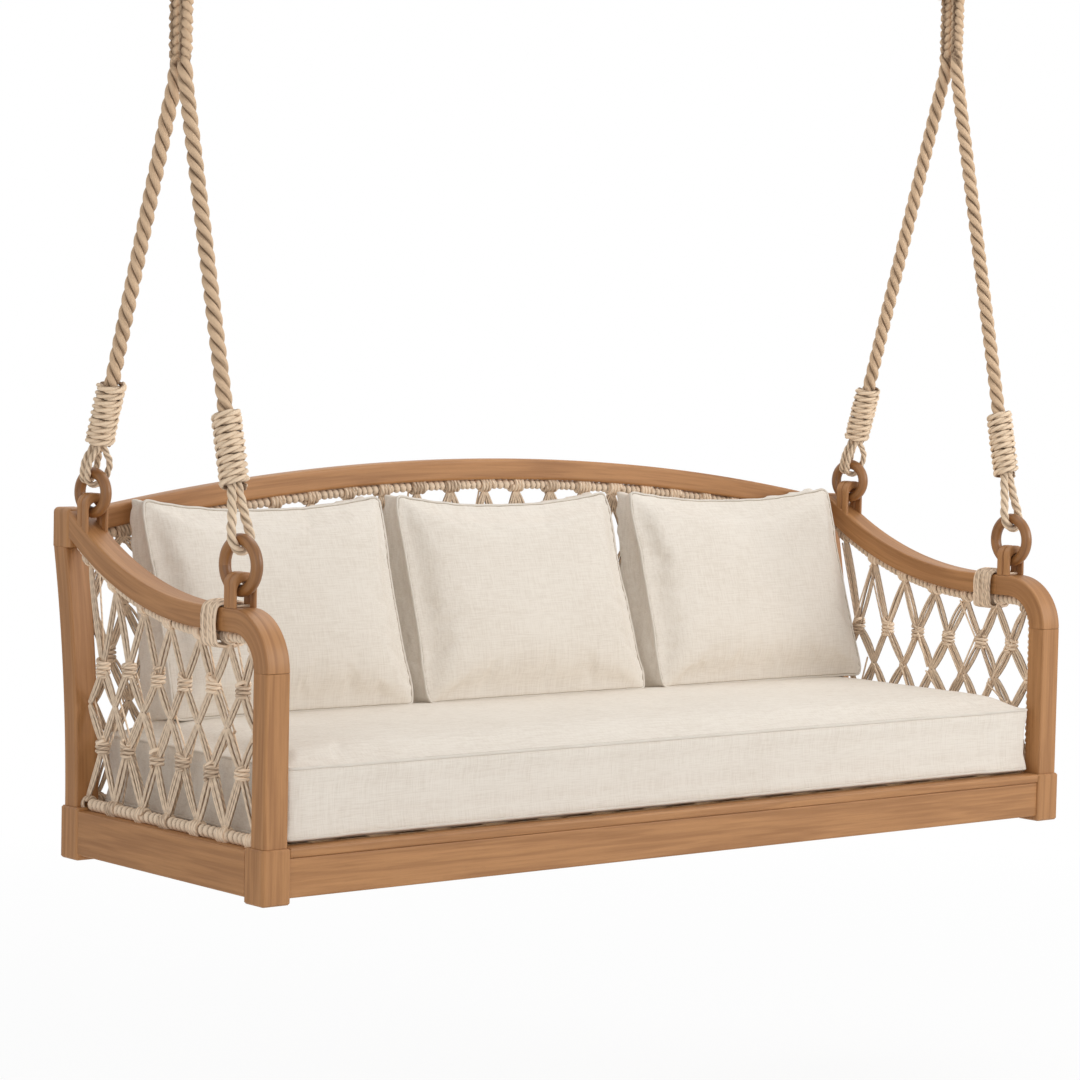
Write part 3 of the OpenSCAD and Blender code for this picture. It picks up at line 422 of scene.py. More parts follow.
def timber_finish(name, light, dark, gloss, way=None):
    """Oiled timber: growth bands, streaks and pores run along the piece. way is set for CAD nodes,
    whose grain follows an axis of the bed instead of a run."""
    made = Finish(name, Roughness=gloss)
    spot = made.place() if way else made.run()
    long_bands, long_streaks, long_pores = [
        [along if axis == (way or "X") else beside for axis in "XYZ"]
        for along, beside in ((1.2, 22), (5, 190), (50, 1300))]
    bands = made.noise(spot, long_bands, 4.0, 0.55)
    streaks = made.noise(spot, long_streaks, 3.0, 0.6)
    pores = made.noise(spot, long_pores)
    rings = (bands * 5.5).wave() * 0.3 + streaks * 0.7
    tint = made.mix(made.ramp(rings, (0.25, 0), (0.78, 1)), dark, light)
    fine = made.ramp(pores, (0.30, 0), (0.46, 1))
    made.feed("Base Color", made.mix(fine * 0.2 + 0.8, tuple(0.7 * c for c in dark), tint))
    made.feed("Roughness", (1.0 - streaks) * 0.16 + (gloss - 0.08))
    made.bump(streaks * 0.6 + fine * 0.4, 0.00025, 0.6)
    return made.material


def linen_finish(name, light, dark):
    """Plain woven cloth: threads both ways, with slubs, on every face of a cushion."""
    made, pitch = Finish(name, Roughness=0.9), 820
    x, y, z = made.split(made.place())
    threads = ((x + y * 0.35) * pitch).wave() * 0.5 + ((z + y * 0.9) * pitch).wave() * 0.5
    slub_up = made.noise(made.place(), (520, 90, 22), 2.0, 0.6)
    slub_across = made.noise(made.place(), (26, 200, 560), 2.0, 0.6)
    cloud = made.noise(made.place(), (7, 7, 7))
    shade = slub_up * 0.42 + slub_across * 0.42 + cloud * 0.16
    creases = made.noise(made.place(), (11, 11, 6), 2.0, 0.45)
    made.feed("Base Color", made.mix(made.ramp(shade, (0.36, 0), (0.56, 1)), dark, light))
    made.bump(threads * 0.03 + shade * 0.03 + creases, 0.009, 0.55)
    return made.material


def metal_finish(name, colour, rough):
    """Satin metal: fine brushing varies its roughness."""
    made = Finish(name, Metallic=1.0)
    brushing = made.noise(made.place(), (900, 40, 900))
    made.feed("Base Color", made.mix(brushing, tuple(0.8 * c for c in colour), colour))
    made.feed("Roughness", brushing * 0.2 + (rough - 0.1))
    return made.material


TEAK_LIGHT, TEAK_DARK = (0.48, 0.23, 0.084), (0.33, 0.145, 0.047)
# For these cords, light is the lit colour of the cord and dark the painted shade of its grooves.
ROPE = cord_finish("laid rope", (0.76, 0.54, 0.35), (0.12, 0.064, 0.032), 420)
WHIPPING = cord_finish("whipping cord", (0.92, 0.715, 0.51), (0.17, 0.095, 0.05), 480)
NET_CORD = cord_finish("net cord", (0.93, 0.74, 0.55), (0.21, 0.12, 0.065), 480)
TEAK = timber_finish("oiled teak", TEAK_LIGHT, TEAK_DARK, 0.5)
RING_WOOD = timber_finish("polished ring wood", (0.36, 0.162, 0.052), (0.21, 0.088, 0.027), 0.36)
SLAT_WOOD = timber_finish("sawn slats", (0.60, 0.42, 0.25), (0.43, 0.27, 0.14), 0.7, "Y")
RAIL_WOOD = timber_finish("sawn rails", (0.60, 0.42, 0.25), (0.43, 0.27, 0.14), 0.7, "X")
LINEN = linen_finish("linen", (0.82, 0.755, 0.67), (0.72, 0.645, 0.555))
PIPING = cord_finish("piping", (0.86, 0.80, 0.72), (0.70, 0.62, 0.52), 900)
# A thin dark tube along each piping, on the panel beside it: painted shadow of the stitching.
PAINTED_SEAM_SHADOW = cord_finish("seam shadow", (0.52, 0.43, 0.33), (0.38, 0.30, 0.22), 900)
STEEL = metal_finish("satin steel", (0.55, 0.55, 0.56), 0.38)
ZINC = metal_finish("zinc plate", (0.50, 0.48, 0.44), 0.45)
BENT_TEAK = timber_finish("bent teak", TEAK_LIGHT, TEAK_DARK, 0.48)
SLEEVE = metal_finish("bearing sleeve", (0.86, 0.84, 0.78), 0.5)

aim_camera()

# ---------- places of the bed ----------

BED_W, BED_D = 2100.0, 690.0
POST_X, POST_IN = 1019.0, 993.0
BLOCK, BLOCK_H, POST_W, POST_D = 62.0, 102.0, 52.0, 44.0
BEND_Y, BEND_Z, BEND_R, ARM_H = 115.0, 417.0, 88.0, 527.0
SWEEP_Y, SWEEP_Z, SWEEP_R = 215.0, 1339.0, 812.0
ARM_JOINT_Y, CAP_Y, CAP_Z, CAP_H, CAP_D = 149.0, 680.0, 602.0, 76.0, 63.0
BACK_ARC_Y, BACK_ARC_R = 3065.0, 2402.0
CREST_Y, CREST_MID, CREST_R = 714.5, -4535.0, 5278.0
CREST_CANE_R = CREST_R - 32.3
CANE_D, BAR_D, BAR_Z, BACK_BAR_Y = 20.0, 22.0, 107.3, 668.0
CANE_Y, CANE_DROP, CANE_FOOT, CANE_BEND = 59.3, 54.3, 118.6, 55.7
NET_Z = CANE_FOOT


def sweep_arc(radius, y0, y1, step=1.5):
    """Points of a curve parallel to the arm's sweep, between two places from front to back."""
    a0, a1 = [math.degrees(math.asin((y - SWEEP_Y) / radius)) for y in (y0, y1)]
    return arc(np.array([0, SWEEP_Y, SWEEP_Z]), radius, -UP, BACK, np.arange(a0, a1 + 0.01, (a1 - a0)
               / math.ceil((a1 - a0) / step)))


def under_arm(y, gap):
    """How high a place lies that is so far under the arm's upper face."""
    if y < SWEEP_Y:
        return ARM_H - gap
    return SWEEP_Z - math.sqrt((SWEEP_R + gap)**2 - (y - SWEEP_Y)**2)


def at_side(side, path):
    """A path drawn in the middle, moved to the arm of a side."""
    return path + SIDES[side] * POST_X * ACROSS


# ---------- ropes ----------

ROPE_D, LOOP_D, WHIP_D = 30.0, 15.0, 11.5
# The two ropes of a side run PAIR_Y to either side of the hang line. A whipping starts WHIP_AT along
# its rope from the top of the ring, and the loop's legs and the rope both end LOOP_IN inside it
PAIR_Y, LOOP_IN = 15.6, 44.0
RING_TOP = {"front": (130.0, 650.33), "back": (636.0, 748.09)}
WHIP_AT, WHIP_TURNS = {"front": 92.0, "back": 54.0}, {"front": 10, "back": 9}
BIGHT_Z, BIGHT_R, SEIZE_Z, SPREAD_Z = 2028.9, 60.0, 1800.0, 1884.0
MEET_Z = {"left": 1490.0, "right": 1640.0}


def rope_line(side, end):
    """Where a rope's line starts at its ring, and the unit step along it, in y and z."""
    start, meet = np.array(RING_TOP[end]), (HANG_Y + ENDS[end] * PAIR_Y, MEET_Z[side])
    return start, unit(np.array(meet) - start)


def neck(meet):
    """The pair above its meeting, out to the thimble: each place out from the line, and height."""
    spread = [(PAIR_Y + (BIGHT_R - PAIR_Y) * t * t * (3 - 2 * t), SPREAD_Z + (BIGHT_Z - SPREAD_Z) * t)
              for t in np.linspace(0, 0.8, 5)]
    return [(PAIR_Y + 1.4, meet - 5), *[(PAIR_Y, z) for z in
            (meet + 20, (meet + SEIZE_Z) / 2, SEIZE_Z)], *spread]


def rope_route(side):
    """The middle of a side's rope: from the front loop up, round the thimble and down the back."""
    meet, clear, stop_under = MEET_Z[side], 0.8, 40
    legs = []
    for end, toward in ENDS.items():
        start, step = rope_line(side, end)
        last = (meet - stop_under - start[1]) / step[1]
        reach = np.linspace(WHIP_AT[end] + LOOP_IN + clear, last, 5)
        legs.append([*(start + reach[:, None] * step),
                     *[(HANG_Y + toward * out, z) for out, z in neck(meet)]])
    turn = [(HANG_Y - BIGHT_R * math.cos(a), BIGHT_Z + BIGHT_R * math.sin(a))
            for a in np.linspace(0, math.pi, 10)]
    route = np.array([*legs[0], *turn, *legs[1][::-1]])
    return np.column_stack([np.full(len(route), SIDES[side] * POST_X), route])


def main_rope(side):
    """Three strands laid round each other up to the meeting point, and plaited above it."""
    out, thick, lay, plait_wide, plait_deep, plait_lay = 7.7, 14.8, 87, 8.6, 4.6, 52
    path = smooth(rope_route(side), 5.0)
    _, first, second = axes(path, ACROSS)
    along = lengths(path)
    shape = Shape()
    plait = np.clip((path[:, 2] - MEET_Z[side] - 5) / 45, 0, 1)
    plait = (plait * plait * (3 - 2 * plait))[:, None]
    for k in range(STRANDS):
        a = (2 * math.pi * (k / STRANDS - along / lay))[:, None]
        b = (2 * math.pi * (along / plait_lay + k / STRANDS))[:, None]
        laid = out * (np.cos(a) * first + np.sin(a) * second)
        flat = plait_wide * np.sin(b) * second + plait_deep * np.sin(2 * b) * first
        # Painted shade: each strand is darker where it sinks towards the rope's middle, in the grooves
        # between strands.
        shape.cord(path + laid * (1 - plait) + flat * plait, thick, ACROSS, 14, tone_and_groove_shade=0,
                   core=(path, 8.7, ROPE_D / 2, None))
    rope = piece(f"main_rope_{side}", shape, f"ropes_{side}", ROPE, [f"rope_{side}"])


for side in SIDES:
    main_rope(side)


# ---------- timber frame ----------

def timber(name, path, w, h, r, across, ends=(1.5, 1.5), cuts=(None, None), finish=None):
    shape = Shape().bar(path, w, h, r, across, ends, cuts)
    return piece(name + "_timber", shape, "bed", finish or TEAK, [name], sharp=32)


def corner_blocks():
    for side, s in SIDES.items():
        for end, e in ENDS.items():
            spot = np.array([s * (BED_W - BLOCK) / 2, (BED_D + e * (BED_D - BLOCK)) / 2, 0])
            timber(f"block_{end}_{side}", line(spot, spot + BLOCK_H * UP, 20), BLOCK, BLOCK, 6,
                   ACROSS, (3.5, 3.5))


def posts_and_arms():
    middle, post_y = ARM_H - POST_D / 2, BEND_Y - BEND_R
    for side in SIDES:
        post = line((0, post_y, BLOCK_H), (0, post_y, BEND_Z), 30)
        timber(f"post_front_{side}", at_side(side, post), POST_W, POST_D, 4, ACROSS, (0.6, 0.5))
        turn = arc(np.array([0, BEND_Y, BEND_Z]), BEND_R, -BACK, UP, np.linspace(0, 90, 31))
        bent = np.concatenate([turn, [[0, ARM_JOINT_Y, middle]]])
        timber(f"bend_{side}", at_side(side, bent), POST_W, POST_D, 4, ACROSS, (0.5, 0.6),
               finish=BENT_TEAK)
        rise = sweep_arc(SWEEP_R + POST_D / 2, SWEEP_Y, CAP_Y)
        arm = np.concatenate([[[0, ARM_JOINT_Y, middle]], rise])
        timber(f"arm_{side}", at_side(side, arm), POST_W, POST_D, 3.4, ACROSS, (0.6, 0.6),
               (None, (1, CAP_Y)))
        lean = math.degrees(math.asin((CAP_Z - BLOCK_H) / BACK_ARC_R))
        post = arc(np.array([0, BACK_ARC_Y, BLOCK_H]), BACK_ARC_R, -BACK, UP,
                   np.linspace(0, lean, 20))
        timber(f"post_back_{side}", at_side(side, post), POST_W, POST_D, 5, ACROSS, (0.6, 0.6),
               (None, (2, CAP_Z)))
        spot = np.array([0, CAP_Y + CAP_D / 2, CAP_Z])
        timber(f"cap_{side}", at_side(side, line(spot, spot + CAP_H * UP, 20)), POST_W, CAP_D, 9,
               ACROSS, (0.6, 10))


def rails_and_aprons():
    reach = math.degrees(math.asin(POST_IN / CREST_R))
    crest = arc(np.array([0, CREST_Y, CREST_MID]), CREST_R, UP, ACROSS,
                np.linspace(-reach, reach, 61))
    timber("crest_rail", crest, 36, 44, 6, BACK, (0.6, 0.6), ((0, -POST_IN), (0, POST_IN)))
    inside = BED_W / 2 - BLOCK
    for name, y, z, high, thick, r in (("front_apron", 25, 47.5, 73, 38, 3),
                                       ("front_lip", 23.5, 93, 18, 41, 4),
                                       ("back_apron", 665, 53.5, 85, 38, 3)):
        board = line((-inside, y, z), (inside, y, z), 60)
        timber(name, board, high, thick, r, UP, (0.4, 0.4))
    for side, s in SIDES.items():
        x = s * (BED_W / 2 - 21)
        board = line((x, BLOCK, 53.5), (x, BED_D - BLOCK, 53.5), 60)
        timber(f"side_apron_{side}", board, 85, 38, 3, UP, (0.4, 0.4))


# ---------- eyes and rings ----------

EYE_OPEN, EYE_W, CROWN_T, CROWN_R, BAND_W = 48.0, 36.0, 17.0, 22.0, 18.0
# Each eye's y, and how far the feet of its bands reach into the arm, which slopes at the back
EYE_Y, EYE_FOOT = {"front": 130.0, "back": 636.0}, {"front": 0, "back": 14}
# Each ring's height, outer diameter and thickness
RINGS = {"front": (603.83, 116.0, 23.0), "back": (710.09, 98.0, 22.0)}
RING_YAW = {"left": {"front": 4, "back": 9}, "right": {"front": 2, "back": -9}}


def ring_yaw(side, end):
    return -SIDES[side] * math.radians(RING_YAW[side][end])


def arched_band(foot):
    """The middle of a bent band and its thickness at each point, from foot to foot. Its feet stand
    a little inside the arm's sides."""
    opening, outside, high = EYE_W / 2, POST_W / 2 - 0.4, EYE_OPEN - EYE_W / 2
    over, up = outside - CROWN_R, EYE_OPEN + CROWN_T - CROWN_R - high
    half = [((outside + opening) / 2, -foot, outside - opening)]
    for a in np.radians(np.linspace(0, 90, 16)):
        b = over * math.cos(a) + up * math.sin(a)
        reach = outside / math.cos(a) if math.tan(a) * outside < up \
            else b + math.sqrt(b * b + CROWN_R**2 - over**2 - up**2)
        middle = (reach + opening) / 2
        half.append((middle * math.cos(a), high + middle * math.sin(a), reach - opening))
    return np.array(half + [(-x, z, t) for x, z, t in half[-2::-1]])


def eyes():
    for side, s in SIDES.items():
        for end, y in EYE_Y.items():
            shape = Shape()
            band = arched_band(EYE_FOOT[end])
            for place in (-1, 1):
                spot = np.full(len(band), y + place * (BAND_W / 2 + 0.1))
                path = np.column_stack([s * POST_X + band[:, 0], spot, under_arm(y, 0) + band[:, 1]])
                section = np.array([rounded(t, BAND_W - 0.4, 3.8) for t in band[:, 2]])
                shape.sweep(path, section, np.column_stack([band[:, 0], 0 * band[:, 0],
                            np.maximum(band[:, 1] - EYE_OPEN + EYE_W / 2, 0.01)]), across=True,
                            shift=(dice.uniform(0, 900), 0, 0))
            piece(f"eye_{end}_{side}_bands", shape, "bed", BENT_TEAK, [f"eye_{end}_{side}"],
                  sharp=32)


def polished_rings():
    for side, s in SIDES.items():
        shape = Shape()
        for end, (z, out, thick) in RINGS.items():
            yaw = ring_yaw(side, end)
            level = math.cos(yaw) * BACK - math.sin(yaw) * ACROSS
            path = arc(np.array([s * POST_X, EYE_Y[end], z]), (out - thick) / 2, level, UP,
                       np.arange(0, 360, 5))
            shape.sweep(path, circle(thick / 2, 24), unit(path - path.mean(0)), closed=True,
                        across=True, shift=(dice.uniform(0, 900), 0, 0))
        piece(f"rings_{side}_polished", shape, f"ropes_{side}", RING_WOOD,
              [f"rings_{side}"])


# ---------- wrapped canes ----------

def wrap(shape, path, core, cord, pitch, side, sides=18, lean=1.0):
    """A bar wrapped in cord, as one tube with the turns standing out of it; lean is how far a turn
    climbs in one round, in turns."""
    path = even(path, pitch / 6)
    along = lengths(path)[:, None]
    a = 2 * math.pi * np.arange(sides) / sides
    wobble = 0.12 * np.sin(along / 37) + 0.08 * np.sin(along / 11 + 2)
    turn = (along / pitch + wobble - lean * a / (2 * math.pi)) % 1
    radius = core + cord * (np.sqrt(np.maximum(1 - (2 * turn - 1)**2, 0)) - 0.25)
    section = np.stack([radius * np.cos(a), radius * np.sin(a)], axis=2)
    start = len(shape.run)
    # Painted shade: the cord is darker where the tube dips between turns.
    shape.sweep(path, section, side, tone_and_groove_shade=np.clip((radius - core) / cord * 1.6, 0, 1))
    shape.run[start] = shape.run[start][:, [1, 0, 2]]


def cane_path():
    """The cane of a side: up beside the post, round the bend and along under the arm."""
    centre = np.array([0, BEND_Y, BEND_Z])
    return np.concatenate([line((0, CANE_Y, CANE_FOOT), (0, CANE_Y, BEND_Z), 10)[:-1],
                           arc(centre, CANE_BEND, -BACK, UP, np.linspace(0, 90, 24)),
                           sweep_arc(SWEEP_R + CANE_DROP, SWEEP_Y, CAP_Y - 2)])


def wrapped_canes():
    """Core radius, cord and pitch of each wrap come from the turns that the photo shows."""
    bar_wrap, ease = (6.8, 7.0, 15.5), 0.5
    for side in SIDES:
        shape = Shape()
        wrap(shape, at_side(side, cane_path()), 6.0, 6.0, 13.5, ACROSS)
        piece(f"arm_cane_{side}_wrap", shape, "bed", NET_CORD, [f"arm_cane_{side}"])
    shape = Shape()
    for s in SIDES.values():
        bar = line((s * POST_X, BLOCK + ease, BAR_Z), (s * POST_X, BED_D - BLOCK - ease, BAR_Z))
        wrap(shape, bar, *bar_wrap, ACROSS)
    reach = BED_W / 2 - BLOCK - 1
    wrap(shape, line((-reach, BACK_BAR_Y, BAR_Z), (reach, BACK_BAR_Y, BAR_Z)), *bar_wrap, UP)
    piece("base_bars_wrap", shape, "bed", NET_CORD, ["base_bars"])
    reach = math.degrees(math.asin(POST_IN / CREST_CANE_R))
    crest = arc(np.array([0, CREST_Y, CREST_MID]), CREST_CANE_R, UP, ACROSS,
                np.linspace(-reach, reach, 200))
    shape = Shape()
    wrap(shape, crest, 6.0, 6.4, 14.5, BACK, lean=0.8)
    piece("crest_cane_wrap", shape, "bed", NET_CORD, ["crest_cane"])


# ---------- nets ----------

def bundle(shape, start, end, out, spread=6.1, thick=6.2):
    """A few thin cords side by side from one point of a net to another; out points away from it."""
    way = unit(end - start)
    beside = np.cross(way, out)
    t = np.linspace(0, 1, 9)[:, None]
    ease = np.sin(math.pi * t) ** 0.7
    bow, cords = dice.uniform(-3, 3), dice.integers(3, 5)
    for k in range(cords):
        place = (k - (cords - 1) / 2) * spread
        gather = 0.5 + (0.5 + dice.uniform(-0.12, 0.25)) * ease
        lift = dice.uniform(-1.5, 1.5)
        path = start + t * (end - start) + beside * (place * gather + bow * ease) \
            + out * ((lift + (k % 2) * 1.6) * ease)
        path = smooth(path, 6)
        # Painted shade: each cord is darker on its flanks, where it meets its neighbours in the
        # bundle.
        shape.cord(path, thick * dice.uniform(0.88, 1.05), out, 8, tone_and_groove_shade=0,
                   core=(path, 0.5, thick / 2, out))


def knot(shape, spot, way, out, radius, turns, cord):
    """A few turns of cord round a net's gathered bundles."""
    beside = np.cross(way, out)
    rise = cord * 1.06
    a = np.linspace(0, 2 * math.pi * turns, int(turns * 14) + 1)[:, None] + dice.uniform(0, 6)
    t = np.linspace(-0.5, 0.5, len(a))[:, None]
    tilt = dice.uniform(-0.12, 0.12)
    path = spot + way * (t * rise * turns + tilt * radius[0] * np.cos(a)) \
        + radius[0] * np.cos(a) * beside + radius[1] * np.sin(a) * out
    shape.cord(path, cord, way, 7)


def net_edges(cols, levels):
    """The bundles of a net of diamonds, as pairs of column and level; odd levels lie half a
    column over."""
    for level in range(levels - 1):
        for c in range(cols + 1):
            for over in (-0.5, 0.5):
                if 0 < c + over < cols:
                    ends = ((c, level), (c + over, level + 1)) if level % 2 == 0 \
                        else ((c + over, level), (c, level + 1))
                    yield ends


def tied_net(name, cols, levels, at, out, hitch, stands_for):
    """A net of bundles: gathered by knots on its odd levels and hitched to its bars by hitch. Each
    knot has a slanting turn over it, and loose single cords lie behind the bundles."""
    knot_cord, over_cord, loose_cord, loose_share, behind = 7.8, 7.6, 4, 0.7, 10
    shape = Shape()
    spots = {}
    for c in np.arange(0, cols + 0.1, 0.5):
        for level in range(levels):
            jitter = 0 if level in (0, levels - 1) else dice.uniform(-5, 5)
            spots[c, level] = at(c, level) + jitter * UP + dice.uniform(-4, 4) * np.cross(UP, out)
    for a, b in net_edges(cols, levels):
        start, end = spots[a], spots[b]
        way = unit(end - start)
        bundle(shape, start + 3 * way, end - 3 * way, out)
    for level in range(1, levels, 2):
        for c in np.arange(0.5, cols, 1):
            knot(shape, spots[c, level] - 3 * UP, UP, out, (12.5, 10.5), dice.uniform(2.6, 3.6),
                 knot_cord)
            turn = dice.choice([-1, 1]) * dice.uniform(0.4, 0.9)
            knot(shape, spots[c, level] + dice.uniform(6, 14) * UP,
                 unit(UP + turn * np.cross(UP, out)), out, (11.5, 11.5), 0.95, over_cord)
    for a, b in net_edges(cols, levels):
        start, end = [spots[point] - behind * out
                      + dice.uniform(-13, 13, 2) @ (UP, np.cross(UP, out)) for point in (a, b)]
        if dice.random() < loose_share:
            shape.cord(line(start, end, 30), loose_cord, out, 6)
    for c in range(cols + 1):
        hitch(shape, spots[c, 0], spots[c, levels - 1], c)
    return piece(name, shape, "bed", NET_CORD, [stands_for])


def hitched(shape, middle, along, diameter, turns=2.5, cord=8.2):
    """Turns of net cord round a cane or bar; along is the way the bar runs there."""
    core = diameter / 2 + 2.5
    side = unit(np.cross(along, (0.3, 0.5, 0.81)))
    other = np.cross(along, side)
    a = np.linspace(0, 2 * math.pi * turns, int(turns * 16) + 1)[:, None] + dice.uniform(0, 6)
    t = np.linspace(-0.5, 0.5, len(a))[:, None]
    path = middle + along * (t * cord * 1.05 * turns) \
        + core * (np.cos(a) * side + np.sin(a) * other)
    shape.cord(path, cord, along, 7)


def side_nets():
    """Each side net hangs between its bar and its cane; its front column ends at the cane's bend."""
    cols, y0, y1, rise, top_gap = 6, 69.6, 639.0, (0, 104, 182, 258), 64.6
    for side, s in SIDES.items():
        def spot(y, z):
            return np.array([s * POST_X, y, z])

        def at(c, level):
            y = y0 + (y1 - y0) * c / cols
            if level < len(rise):
                return spot(y + (2 if c == 0 else 0), NET_Z + rise[level])
            return spot(84, 447) if c == 0 else spot(y, under_arm(y, top_gap))

        def hitch(shape, low, top, c):
            hitched(shape, spot(max(low[1], 74), BAR_Z), BACK, BAR_D)
            if c == 0:
                hitched(shape, spot(75.6, 456.4), unit(BACK + UP), CANE_D)
                hitched(shape, spot(CANE_Y, 300), UP, CANE_D)
            else:
                tilt = max(0, (top[1] - SWEEP_Y) / (SWEEP_R + CANE_DROP))
                way = math.sqrt(1 - tilt**2) * BACK + tilt * UP
                hitched(shape, spot(top[1], under_arm(top[1], CANE_DROP)), way, CANE_D)

        tied_net(f"side_net_{side}_cords", cols, len(rise) + 1, at, s * ACROSS, hitch,
                 f"side_net_{side}")


def back_net():
    """The back net rises from the back bar and leans to the cane under the crest rail."""
    cols, rows, wide, row = 22, 6, 992.7, 92.0
    top_r = CREST_CANE_R - CANE_D / 2 - 0.6
    lean = math.atan2(CREST_Y - BACK_BAR_Y, CREST_MID + top_r - NET_Z)

    def at(c, level):
        x = wide * (2 * c / cols - 1)
        x = max(-wide + 8, min(wide - 8, x))
        high = (CREST_MID + math.sqrt(top_r**2 - x * x) - NET_Z) / math.cos(lean) - 1
        high = level * row if level < rows else high
        return np.array([x, BACK_BAR_Y + math.sin(lean) * high, NET_Z + math.cos(lean) * high])

    def hitch(shape, low, top, c):
        hitched(shape, np.array([low[0], BACK_BAR_Y, BAR_Z]), ACROSS, BAR_D)
        middle = np.array([top[0], CREST_Y, CREST_MID + math.sqrt(CREST_CANE_R**2 - top[0]**2)])
        way = unit(np.array([middle[2] - CREST_MID, 0, -top[0]]))
        hitched(shape, middle, way, CANE_D + 1.4, 3.4)

    tied_net("back_net_cords", cols, rows + 1, at, -BACK, hitch, "back_net")


# ---------- lashing, whippings and loops ----------

def lashings():
    """Flat bands of three cords, wound round arm and cane together, and the short cord that shows
    on the arm under the front eye."""
    turns, pitch, start, half, low, high, r = 4, 12.6, 155.8, 32.7, 455.3, 533.7, 11.7
    cords, cord, beside = 3, 4.9, 3.9
    corners = [(half - r, high - r, 0), (-half + r, high - r, 90), (-half + r, low + r, 180),
               (half - r, low + r, 270)]
    ring = np.concatenate([arc(np.array([x, 0, z]), r, ACROSS, UP, np.linspace(a, a + 90, 6))
                           for x, z, a in corners])
    count = len(ring)
    for side in SIDES:
        shape = Shape()
        for k in range(cords):
            place = np.array([ring[i % count] for i in range(turns * count + 4)])
            place[:, 1] = start + (k - 1) * beside + pitch * np.arange(len(place)) / count
            proud = 1 + 0.018 * np.sin(np.arange(len(place)) * 0.7 + k * 2)
            middle = np.array([0, 0, (low + high) / 2])
            place = middle + (place - middle) * np.column_stack([proud, np.ones(len(place)), proud])
            shape.cord(smooth(at_side(side, place), 4), cord, BACK)
        shape.cord(at_side(side, line((-17, 131, ARM_H + 2.7), (24, 127, ARM_H + 2.7), 4)), 6, BACK)
        piece(f"arm_lashing_{side}_cords", shape, "bed", NET_CORD,
              [f"arm_lashing_{side}"])


def ring_lines(side):
    """For each ring of a side: its end, where its rope's line starts, and the unit step along it."""
    for end in ENDS:
        start, step = rope_line(side, end)
        yield end, np.array([SIDES[side] * POST_X, *start]), np.array([0, *step])


def ring_loops():
    """Laid ropes from each whipping down to its ring: one bight round a front ring, and two, side by
    side, round a back one."""
    for side in SIDES:
        shape = Shape()
        for end, start, step in ring_lines(side):
            whip, yaw = WHIP_AT[end], ring_yaw(side, end)
            flat = math.cos(yaw) * ACROSS + math.sin(yaw) * BACK
            wide = unit(flat - step * (flat @ step))
            r, rest = RINGS[end][2] / 2 + 2 + LOOP_D / 2, LOOP_D / 2 + 0.4
            if end == "front":
                half = [(rest, whip + LOOP_IN), (rest, whip), (r, whip * 0.14)]
                half[2:2] = [(rest + (r - rest) * (1 - k), whip * k) for k in (0.7, 0.4)]
                turn = [(r * math.cos(a), -r * math.sin(a)) for a in np.linspace(0, math.pi, 10)]
                route = [*half, *turn, *[(-x, z) for x, z in half[::-1]]]
                path = np.array([start + x * wide + z * step for x, z in route])
                shape.laid(smooth(path, 4), LOOP_D + 3.5, 64, BACK, 10)
                continue
            beside = np.cross(wide, step)
            for k in (-1, 1):
                route = [(7 * k, 7, whip + LOOP_IN), (8 * k, 8, whip), (17 * k, r, whip * 0.5),
                         (17 * k, r, 5), (14 * k, 0.75 * r, -0.68 * r), (10 * k, 0, -r),
                         (7.5 * k, -0.75 * r, -0.68 * r), (7 * k, -r, 4), (6.5 * k, -r, whip * 0.5),
                         (7 * k, -8, whip), (7 * k, -7, whip + LOOP_IN)]
                path = np.array([start + x * beside + w * wide + z * step for x, w, z in route])
                shape.laid(smooth(path, 4), 13.4, 50, BACK)
        piece(f"rope_loops_{side}_laid", shape, f"ropes_{side}", WHIPPING,
              [f"rope_loops_{side}"])


def whippings():
    """Turns of laid cord round the ropes above the rings, and round both above their meeting."""
    pitch, core, facets, seize_turns = WHIP_D + 2, 15.8, 18, 6
    whip_cord, whip_lay, seize_cord, seize_lay = 15.4, 80, 14.4, 96
    for side, s in SIDES.items():
        shape = Shape()
        for end, start, step in ring_lines(side):
            other = np.cross(step, ACROSS)
            i = np.arange(WHIP_TURNS[end] * facets + 1)[:, None]
            a = 2 * math.pi * i / facets
            wobble = 0.5 * np.sin(i / 7.3 + s) + 0.4 * np.sin(i / 3.1)
            along = WHIP_AT[end] + WHIP_D / 2 + pitch * i / facets + 0.8 * np.sin(i / 11.0)
            path = start + step * along \
                + (core + WHIP_D / 2 + wobble) * (np.cos(a) * ACROSS + np.sin(a) * other)
            # Painted shade: each turn is darker where it lies closer to the rope's axis, in the
            # grooves between turns.
            axis = start + ((path - start) @ step)[:, None] * step
            shape.laid(path, whip_cord, whip_lay, step, core=(axis, 21.5, 28.0, None))
        half = np.linspace(-90, 90, 13)
        r = ROPE_D / 2 + 1.6 + WHIP_D / 2
        middle = np.array([s * POST_X, HANG_Y, SEIZE_Z])
        ring = np.concatenate([arc(middle + PAIR_Y * BACK, r, BACK, ACROSS, half),
                               arc(middle - PAIR_Y * BACK, r, -BACK, -ACROSS, half)])
        count = len(ring)
        path = np.array([ring[i % count] + pitch * i / count * UP
                         for i in range(seize_turns * count)])
        shape.laid(smooth(path, 4), seize_cord, seize_lay, UP)
        piece(f"rope_bindings_{side}_whipping", shape, f"ropes_{side}", WHIPPING,
              [f"rope_bindings_{side}"])


# ---------- cushions ----------

def skin(place, count_u, count_v):
    return np.array([place(2 * i / count_u - 1, 2 * j / count_v - 1)
                     for j in range(count_v + 1) for i in range(count_u + 1)])


